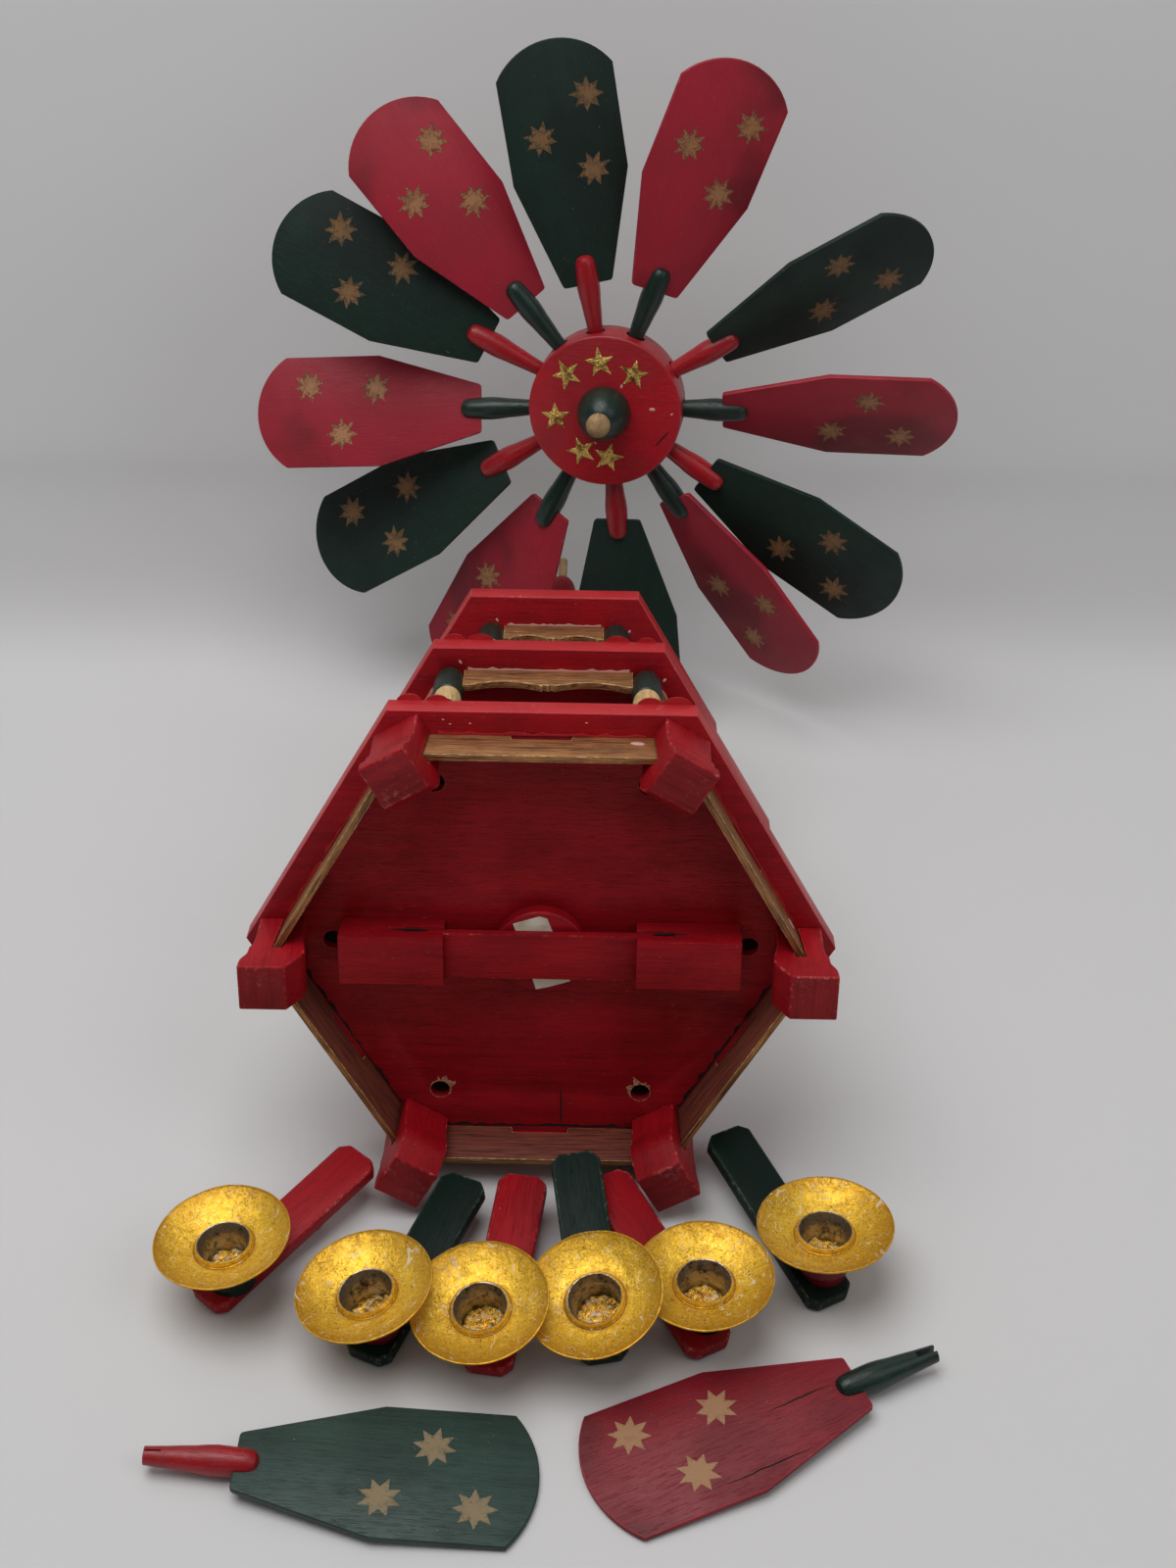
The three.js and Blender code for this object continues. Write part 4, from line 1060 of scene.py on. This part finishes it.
class PYRAMID_OT_rotor(bpy.types.Operator):
    """The hub with its peg holes and foil stars, and the finial"""

    bl_idname = "pyramid.rotor"
    bl_label = "Rotor hub"

    def execute(self, context):
        edge = [(31.5 - 1.2 + 1.2 * math.sin(math.radians(a)), 9 - 1.2 + 1.2 * math.cos(math.radians(a)))
                for a in (0, 30, 60, 90)]
        profile = [(0, 9), *edge, *[(r, -z) for r, z in edge[::-1]], (0, -9)]
        hub = piece("hub", lathe(profile, 96), ROTOR, "rotor", ["red_hub"], "red_paint",
                    stands_for=["rotor_hub"])
        tools = [rod(2.6, -10, 2)]
        for stand in BLADES:
            tools.append(set_at(rod(4, 22, 38, 24), ROTOR.inverted() @ blade_frame(stand)
                                @ move(-stand["pulled"], 0, 0) @ ALONG_X))
        carve(hub, tools)
        hub.data.set_sharp_from_angle(angle=math.radians(25))
        outer = sizes().foil_star_size / MM / 2
        spots = [(-2.8, 20.4, 12), (11.4, 16.7, -8), (-16.2, 14.5, 30), (-20.1, -3.6, 5), (-9, -17.3, 22),
                 (2.5, -19.3, -10)]
        for i, (x, y, angle) in enumerate(spots):
            bm = star(5, outer, 0.4 * outer, 0.15, 0.4, 90 + angle, 0.06, i)
            piece(f"foil_star_{i + 1}", bm, ROTOR @ move(x, y, 9.02), "rotor", ["gold_foil"], "gold_metal",
                  sharp=8)
        drops = [(19.5, 2.6, 1.3), (27.6, 1.2, 0.7), (6.5, 11.2, 0.9), (-3.2, -13.4, 0.8)]
        for i, (x, y, width) in enumerate(drops):
            drop(f"hub_glue_{i + 1}", ROTOR @ move(x, y, 9.0) @ turn("Z", 40 * i), "rotor", width, 0.25)
        scratch = [(21.5, -12.4), (24.4, -8.6), (26.4, -6.3), (26.8, -6.5), (24.9, -9.1), (22.1, -12.6)]
        piece("hub_scratch", prism(scratch, 8.99, 9.03), ROTOR, "rotor", ["dark_mark_and_gap_shade"], "red_paint")
        z = 9 + GAP
        ball = z + 23 - 4.9
        profile = [(0, z), (10.5, z), (11, z + 1)]
        for i in range(1, 13):
            a = math.radians(6.5 * i)
            profile.append((11 * math.cos(a), z + 1 + (ball - z - 4) * math.sin(a)))
        profile.append((3.2, ball - 2.8))
        for i in range(12):
            a = math.radians(-34 + 124 * i / 11)
            profile.append((4.9 * math.cos(a) if i < 11 else 0, ball + 4.9 * math.sin(a)))
        piece("finial", lathe(profile, 48, [ball - 3]), ROTOR, "rotor", ["green_gloss", "worn_tip"],
              "green_paint", stands_for=["rotor_finial"])
        return {"FINISHED"}


# Blades


def blade_outline(length, half):
    corner = 83
    made = [(0, 8.9), (0.2, 9.7), (0.7, 10.1), (1.5, 10.4), (43, half), (corner, half)]
    rise = length - corner
    arc = (half ** 2 + rise ** 2) / (2 * rise)
    sweep = math.asin(half / arc)
    for i in range(1, 20):
        a = sweep * (1 - i / 10)
        made.append((length - arc + arc * math.cos(a), arc * math.sin(a)))
    return made + [(x, -y) for x, y in made[:6][::-1]]


def peg_profile():
    start = PEG_REACH - 35
    return [(0, start), (2.8, start + 0.2), (3.3, start + 7), (3.7, start + 11), (4.1, start + 16),
            (4.5, start + 19), (4.7, start + 22), (4.6, start + 25), (4.2, PEG_REACH - 4),
            (3.9, PEG_REACH - 2.4), (3.2, PEG_REACH - 1.1), (1.9, PEG_REACH - 0.3), (0, PEG_REACH)]


def dress_blade(number, name, place, body, overlap, length, is_green, node, kind="blade"):
    """One blade: its board with three stencilled stars, and the turned peg glued on it."""
    paint, other = ("green", "red") if is_green else ("red", "green")
    stencil = "stencil" if kind == "blade" else "bright"
    root = place @ move(PEG_REACH - overlap, 0, 0)
    board = piece(name, prism(blade_outline(length, sizes().blade_width / MM / 2), -1, 1), root, body,
                  [f"{paint}_{kind}", f"{paint}_blade_edge"], f"{paint}_paint", stands_for=[node])
    rounded(board, 0.3)
    peg = piece(f"{name}_peg", lathe(peg_profile(), 24), place @ ALONG_X, body,
                [f"{other}_gloss", "dark_mark_and_gap_shade"], f"{other}_paint")
    outer = sizes().star_size / MM / 2
    wobble = 0.07 if kind == "blade" else 0.03
    for i, (x, y) in enumerate(((44.5, -9.3), (59.2, 9.5), (73, -11))):
        bm = star(8, outer, 0.55 * outer, 0.04, 0, 11 * i + number * 17, wobble, 10 * number + i)
        piece(f"{name}_star_{i + 1}", bm, root @ move(x, y, 1.0), body, [f"{stencil}_on_{paint}"],
              "gold_metal")
    return board, peg


class PYRAMID_OT_blades(bpy.types.Operator):
    """Twelve blades on the hub and two loose ones, green on red pegs and red on green pegs"""

    bl_idname = "pyramid.blades"
    bl_label = "Blades"

    def execute(self, context):
        length = sizes().blade_length / MM
        for i, stand in enumerate(BLADES):
            dress_blade(i + 1, f"blade_{i + 1}", blade_frame(stand), f"blade_{i + 1}", stand["overlap"],
                        length, i % 2 == 0, f"rotor_blade_{i + 1}")
        for i, lie in enumerate(SPARES):
            board, peg = dress_blade(20 + i, f"loose_blade_{i + 1}", spare_frame(lie), f"spare_{i + 1}", 7.5,
                                     length - 3.9, i == 0, f"spare_blade_{i + 1}", "spare")
            start = PEG_REACH - 35
            half, depth = ((0.3, 5.5), (0.95, 7))[i]
            carve(peg, [set_at(block(start - 1, start + depth, -half, half, -5, 5), turn("Y", -90))])
        root = spare_frame(SPARES[1]) @ move(PEG_REACH - 7.5, 0, 1.0)
        for i, (start, end, y) in enumerate(((9, 31, -2.6), (24, 53, 15.5))):
            self.crack(f"grain_crack_{i + 1}", root, start, end, y, i)
        return {"FINISHED"}

    def crack(self, name, place, start, end, y, seed):
        """A fine dark crack along the grain of the second loose blade."""
        dice = random.Random(seed)
        steps = 14
        over, under = [], []
        for k in range(steps + 1):
            t = k / steps
            x = start + (end - start) * t
            middle = y + 1.2 * t + dice.uniform(-0.2, 0.2)
            half = 0.24 * math.sin(math.pi * t) + 0.04
            over.append((x, middle + half))
            under.append((x, middle - half))
        piece(name, prism(under + over[::-1], 0, 0.04), place, "spare_2", ["dark_mark_and_gap_shade"], "red_paint")


# Arms and dishes


def arm_board():
    h, c = ARM_WIDTH / 2, 3
    corners = [(c, -h), (ARM_LENGTH - c, -h), (ARM_LENGTH, -h + c), (ARM_LENGTH, h - c),
               (ARM_LENGTH - c, h), (c, h), (0, h - c), (0, -h + c)]
    return prism(corners, 0, ARM_THICK)


def dish_mesh(width, seed):
    """The drip dish and its socket, dented here and there as if by a hammer."""
    edge = width / 2
    outer = [(0, 0), (7.3, 0), (8.0, 0.3), (8.3, 1), (8.3, CUP_DISH - 0.9)]
    bowl = []
    steps = 18
    for i in range(steps + 1):
        t = i / steps
        bowl.append((8.6 + t * (edge - 9.1), CUP_DISH + 0.15 + (CUP_RIM - CUP_DISH - 0.3) * t ** 1.5))
    under = [(r, z - 0.75) for r, z in bowl]
    bowl = [(r, z) for r, z in bowl if r > 10.6]
    rim = [(edge - 0.25, CUP_RIM - 0.75), (edge, CUP_RIM - 0.45), (edge - 0.12, CUP_RIM - 0.05),
           (edge - 0.4, CUP_RIM)]
    ring = [(10.1, CUP_DISH + 0.15), (9.6, CUP_DISH - 0.05), (9.35, CUP_DISH + 0.1), (9.3, 12.7),
            (9.25, 13.3), (9.05, 13.7), (8.75, 13.9), (8.45, 13.8), (8.25, 13.4)]
    bore = [(8.05, 12.4), (7.7, 11.4), (7.4, 10.2), (7.25, 9), (7.25, 0.9), (0, 0.9)]
    profile = outer + under + rim + bowl[::-1] + ring + bore
    bm = lathe(profile, 96)
    inside = 8.65 * MM
    for face in bm.faces:
        middle = face.calc_center_median()
        if math.hypot(middle.x, middle.y) < inside and middle.z > 0.5 * MM:
            face.material_index = 1
    for vert in bm.verts:
        radius = math.hypot(vert.co.x, vert.co.y) / MM
        if radius > 10.6:
            share = min(1, (radius - 10.6) / 3)
            at = vert.co / MM
            dent = noise.noise(Vector((at.x * 0.35, at.y * 0.35, seed * 9.7))) * 0.14
            dent += noise.noise(Vector((at.x * 0.09, at.y * 0.09, seed * 5.1))) * 0.3
            vert.co.z += dent * share * MM
    return bm


def crumple_mesh(seed):
    """Creased foil and wax at the bottom of the socket."""
    bm = bmesh.new()
    rings, count = 9, 40
    middle = bm.verts.new((0, 0, 0))
    rows = []
    for k in range(1, rings + 1):
        radius = 7.1 * k / rings * MM
        turns = [2 * math.pi * i / count for i in range(count)]
        rows.append([bm.verts.new((radius * math.cos(a), radius * math.sin(a), 0)) for a in turns])
    for i in range(count):
        j = (i + 1) % count
        bm.faces.new((middle, rows[0][i], rows[0][j]))
        for low, high in zip(rows, rows[1:]):
            bm.faces.new((low[i], high[i], high[j], low[j]))
    for vert in bm.verts:
        at = vert.co / MM
        crease = abs(noise.noise(Vector((at.x * 0.32, at.y * 0.32, seed * 3.3)))) * 3.4
        fine = noise.noise(Vector((at.x * 1.1, at.y * 1.1, seed * 7.7))) * 0.7
        vert.co.z = (2.4 + crease + fine) * MM
    rim = rows[-1]
    low = [bm.verts.new((v.co.x, v.co.y, 1.0 * MM)) for v in rim]
    for i in range(count):
        j = (i + 1) % count
        bm.faces.new((rim[i], low[i], low[j], rim[j]))
    bm.faces.new(low[::-1])
    bmesh.ops.recalc_face_normals(bm, faces=bm.faces)
    return bm


class PYRAMID_OT_arms(bpy.types.Operator):
    """Six arms with a turned block each, and the gold dishes with their sockets"""

    bl_idname = "pyramid.arms"
    bl_label = "Arms and dishes"

    def execute(self, context):
        for i, lie in enumerate(ARMS):
            number, body = i + 1, f"arm_{i + 1}"
            paint, other = ("red", "green") if i % 2 == 0 else ("green", "red")
            bar, seat, cup = arm_frames(lie)
            made = piece(f"arm_bar_{number}", arm_board(), bar, body,
                         [f"{paint}_board", f"{paint}_board_edge"], f"{paint}_paint",
                         stands_for=[f"candle_arm_{number}"])
            rounded(made, 0.9, 3)
            bore, top = 8.3 + HOLE_GAP, ARM_BLOCK_HEIGHT
            profile = [(0, -1.8), (7.6, -1.8), (7.7, 1.5), (7.9, 3), (8.5, 5), (9.4, 7.6), (9.9, 9.4),
                       (10, 11), (10, top - 0.6), (9.8, top - 0.15), (9.4, top), (bore, top),
                       (bore, 2.1), (0, 2.1)]
            # A red block takes the darker red: the painted shadow of its dish
            made = piece(f"arm_block_{number}", lathe(profile, 48), seat, body,
                         ["shaded_red_block" if other == "red" else "green_turned"], f"{other}_paint")
            under = block(-30, 30, -30, 30, -12, 0)
            carve(made, [set_at(under, seat.inverted() @ bar @ move(60, 0, 0.2))])
            profile = [(0, -7.7), (2.7, -7.7), (3.2, -7.3), (3.4, -6.8), (3.4, 0.3), (0, 0.3)]
            piece(f"arm_peg_{number}", lathe(profile, 28), bar @ move(26, 0, 0), body,
                  [f"{paint}_turned"], f"{paint}_paint")
            piece(f"dish_{number}", dish_mesh(sizes().dish_width / MM, number), cup, body,
                  ["gold_dish", "socket_metal"], "gold_metal", sharp=40,
                  stands_for=[f"candle_cup_{number}"])
            piece(f"socket_crumple_{number}", crumple_mesh(number), cup, body, ["socket_foil"], "gold_metal",
                  sharp=180)
        return {"FINISHED"}


# Stage


class PYRAMID_OT_stage(bpy.types.Operator):
    """Pale floor and backdrop, soft light and the camera at the photograph's angle"""

    bl_idname = "pyramid.stage"
    bl_label = "Stage"

    def execute(self, context):
        scene = context.scene
        scene.view_settings.view_transform = "Standard"
        self.backdrop(tuple(scene.pyramid_colours.floor) + (1.0,))
        world = bpy.data.worlds.new("studio")
        scene.world = world
        world.use_nodes = True
        nodes, links = world.node_tree.nodes, world.node_tree.links
        sky = nodes["Background"]
        sky.inputs["Color"].default_value = (1.0, 1.0, 1.0, 1.0)
        sky.inputs["Strength"].default_value = 0.2 * sizes().light
        dim = nodes.new("ShaderNodeBackground")
        dim.inputs["Color"].default_value = (1.0, 1.0, 1.0, 1.0)
        dim.inputs["Strength"].default_value = 0.06 * sizes().light
        pale = nodes.new("ShaderNodeBackground")
        pale.inputs["Color"].default_value = (1.0, 1.0, 1.0, 1.0)
        pale.inputs["Strength"].default_value = 0.5
        ray = nodes.new("ShaderNodeLightPath")
        seen = sky.outputs[0]
        for kind, background in (("Is Glossy Ray", dim), ("Is Camera Ray", pale)):
            either = nodes.new("ShaderNodeMixShader")
            links.new(ray.outputs[kind], either.inputs[0])
            links.new(seen, either.inputs[1])
            links.new(background.outputs[0], either.inputs[2])
            seen = either.outputs[0]
        links.new(seen, nodes["World Output"].inputs["Surface"])
        self.lamp("key", (-0.28, -0.12, 1.35), 1.2, 12.5)
        self.lamp("fill", (0.8, -0.5, 1.0), 0.9, 2)
        camera = bpy.data.objects.new("camera", bpy.data.cameras.new("camera"))
        scene.collection.objects.link(camera)
        camera.data.lens = 50.248
        camera.data.clip_start = 0.01
        camera.data.clip_end = 50
        camera.matrix_world = move(-3.253, -622.510, 567.205) @ turn("X", 90 - 37.52) @ turn("Z", 0.845)
        scene.camera = camera
        return {"FINISHED"}

    def backdrop(self, colour):
        """Floor and wall in one sweep, with a soft bend behind the rotor, open from their back side. Its
        grey is painted darker across the bend, as painted shade, and lighter up the wall, as painted light.
        """
        look = Look("backdrop", Roughness=0.9)
        here = look.node("TexCoord", out="Object")
        far = look.node("SeparateXYZ", values=[here], out="Y")
        high = look.node("SeparateXYZ", values=[here], out="Z")
        # Painted shade and light: a darker grey across the bend behind the rotor, then a lighter grey up the
        # wall against the darkening its slope brings
        painted_bend_shade = look.mix(look.step(far, 0.19, 0.275), colour, tint(184, 183, 183))
        look.feed(Base_Color=look.mix(look.step(high, 0.0, 0.07), painted_bend_shade, tint(210, 210, 210)))
        look.feed(Alpha=1 - look.node("NewGeometry", out="Backfacing"))
        line = [(-3.0, -0.0001), (0.235, -0.0001)]
        bend = 0.06
        for i in range(1, 13):
            a = math.radians(80 * i / 12)
            line.append((0.235 + bend * math.sin(a), bend * (1 - math.cos(a))))
        y, z = line[-1]
        line.append((y + 0.35, z + 0.35 * math.tan(math.radians(80))))
        bm = bmesh.new()
        rows = [[bm.verts.new((x, y, z)) for y, z in line] for x in (-3.0, 3.0)]
        for i in range(len(line) - 1):
            bm.faces.new((rows[0][i], rows[1][i], rows[1][i + 1], rows[0][i + 1]))
        mesh = bpy.data.meshes.new("backdrop")
        bm.to_mesh(mesh)
        bm.free()
        mesh.materials.append(look.material)
        mesh.shade_smooth()
        made = bpy.data.objects.new("backdrop", mesh)
        bpy.context.scene.collection.objects.link(made)

    def lamp(self, name, at, size, watts):
        light = bpy.data.lights.new(name, "AREA")
        light.shape = "DISK"
        light.size = size
        light.energy = watts * sizes().light
        made = bpy.data.objects.new(name, light)
        made.location = at
        made.rotation_euler = (Vector((0, 0.05, 0.05)) - made.location).to_track_quat("-Z", "Y").to_euler()
        bpy.context.scene.collection.objects.link(made)


class PYRAMID_PT_panel(bpy.types.Panel):
    """Lists the pieces of the pyramid"""

    bl_label = "Christmas pyramid"
    bl_space_type = "VIEW_3D"
    bl_region_type = "UI"
    bl_category = "Pyramid"

    def draw(self, context):
        for group in (context.scene.pyramid_colours, context.scene.pyramid_sizes):
            for name in group.__annotations__:
                self.layout.prop(group, name)
        for operator in OPERATORS:
            self.layout.operator(operator.bl_idname)


OPERATORS = (
    PYRAMID_OT_decks,
    PYRAMID_OT_feet,
    PYRAMID_OT_bearing,
    PYRAMID_OT_pillars,
    PYRAMID_OT_spindle,
    PYRAMID_OT_rotor,
    PYRAMID_OT_blades,
    PYRAMID_OT_arms,
    PYRAMID_OT_stage,
)
CLASSES = (PyramidColours, PyramidSizes, *OPERATORS, PYRAMID_PT_panel)


def register():
    for item in CLASSES:
        bpy.utils.register_class(item)
    bpy.types.Scene.pyramid_colours = bpy.props.PointerProperty(type=PyramidColours)
    bpy.types.Scene.pyramid_sizes = bpy.props.PointerProperty(type=PyramidSizes)


def unregister():
    del bpy.types.Scene.pyramid_sizes
    del bpy.types.Scene.pyramid_colours
    for item in reversed(CLASSES):
        bpy.utils.unregister_class(item)


def main():
    register()
    make_looks(bpy.context.scene.pyramid_colours)
    bpy.ops.pyramid.decks()
    bpy.ops.pyramid.feet()
    bpy.ops.pyramid.bearing()
    bpy.ops.pyramid.pillars()
    bpy.ops.pyramid.spindle()
    bpy.ops.pyramid.rotor()
    bpy.ops.pyramid.blades()
    bpy.ops.pyramid.arms()
    bpy.ops.pyramid.stage()


if __name__ == "__main__":
    main()
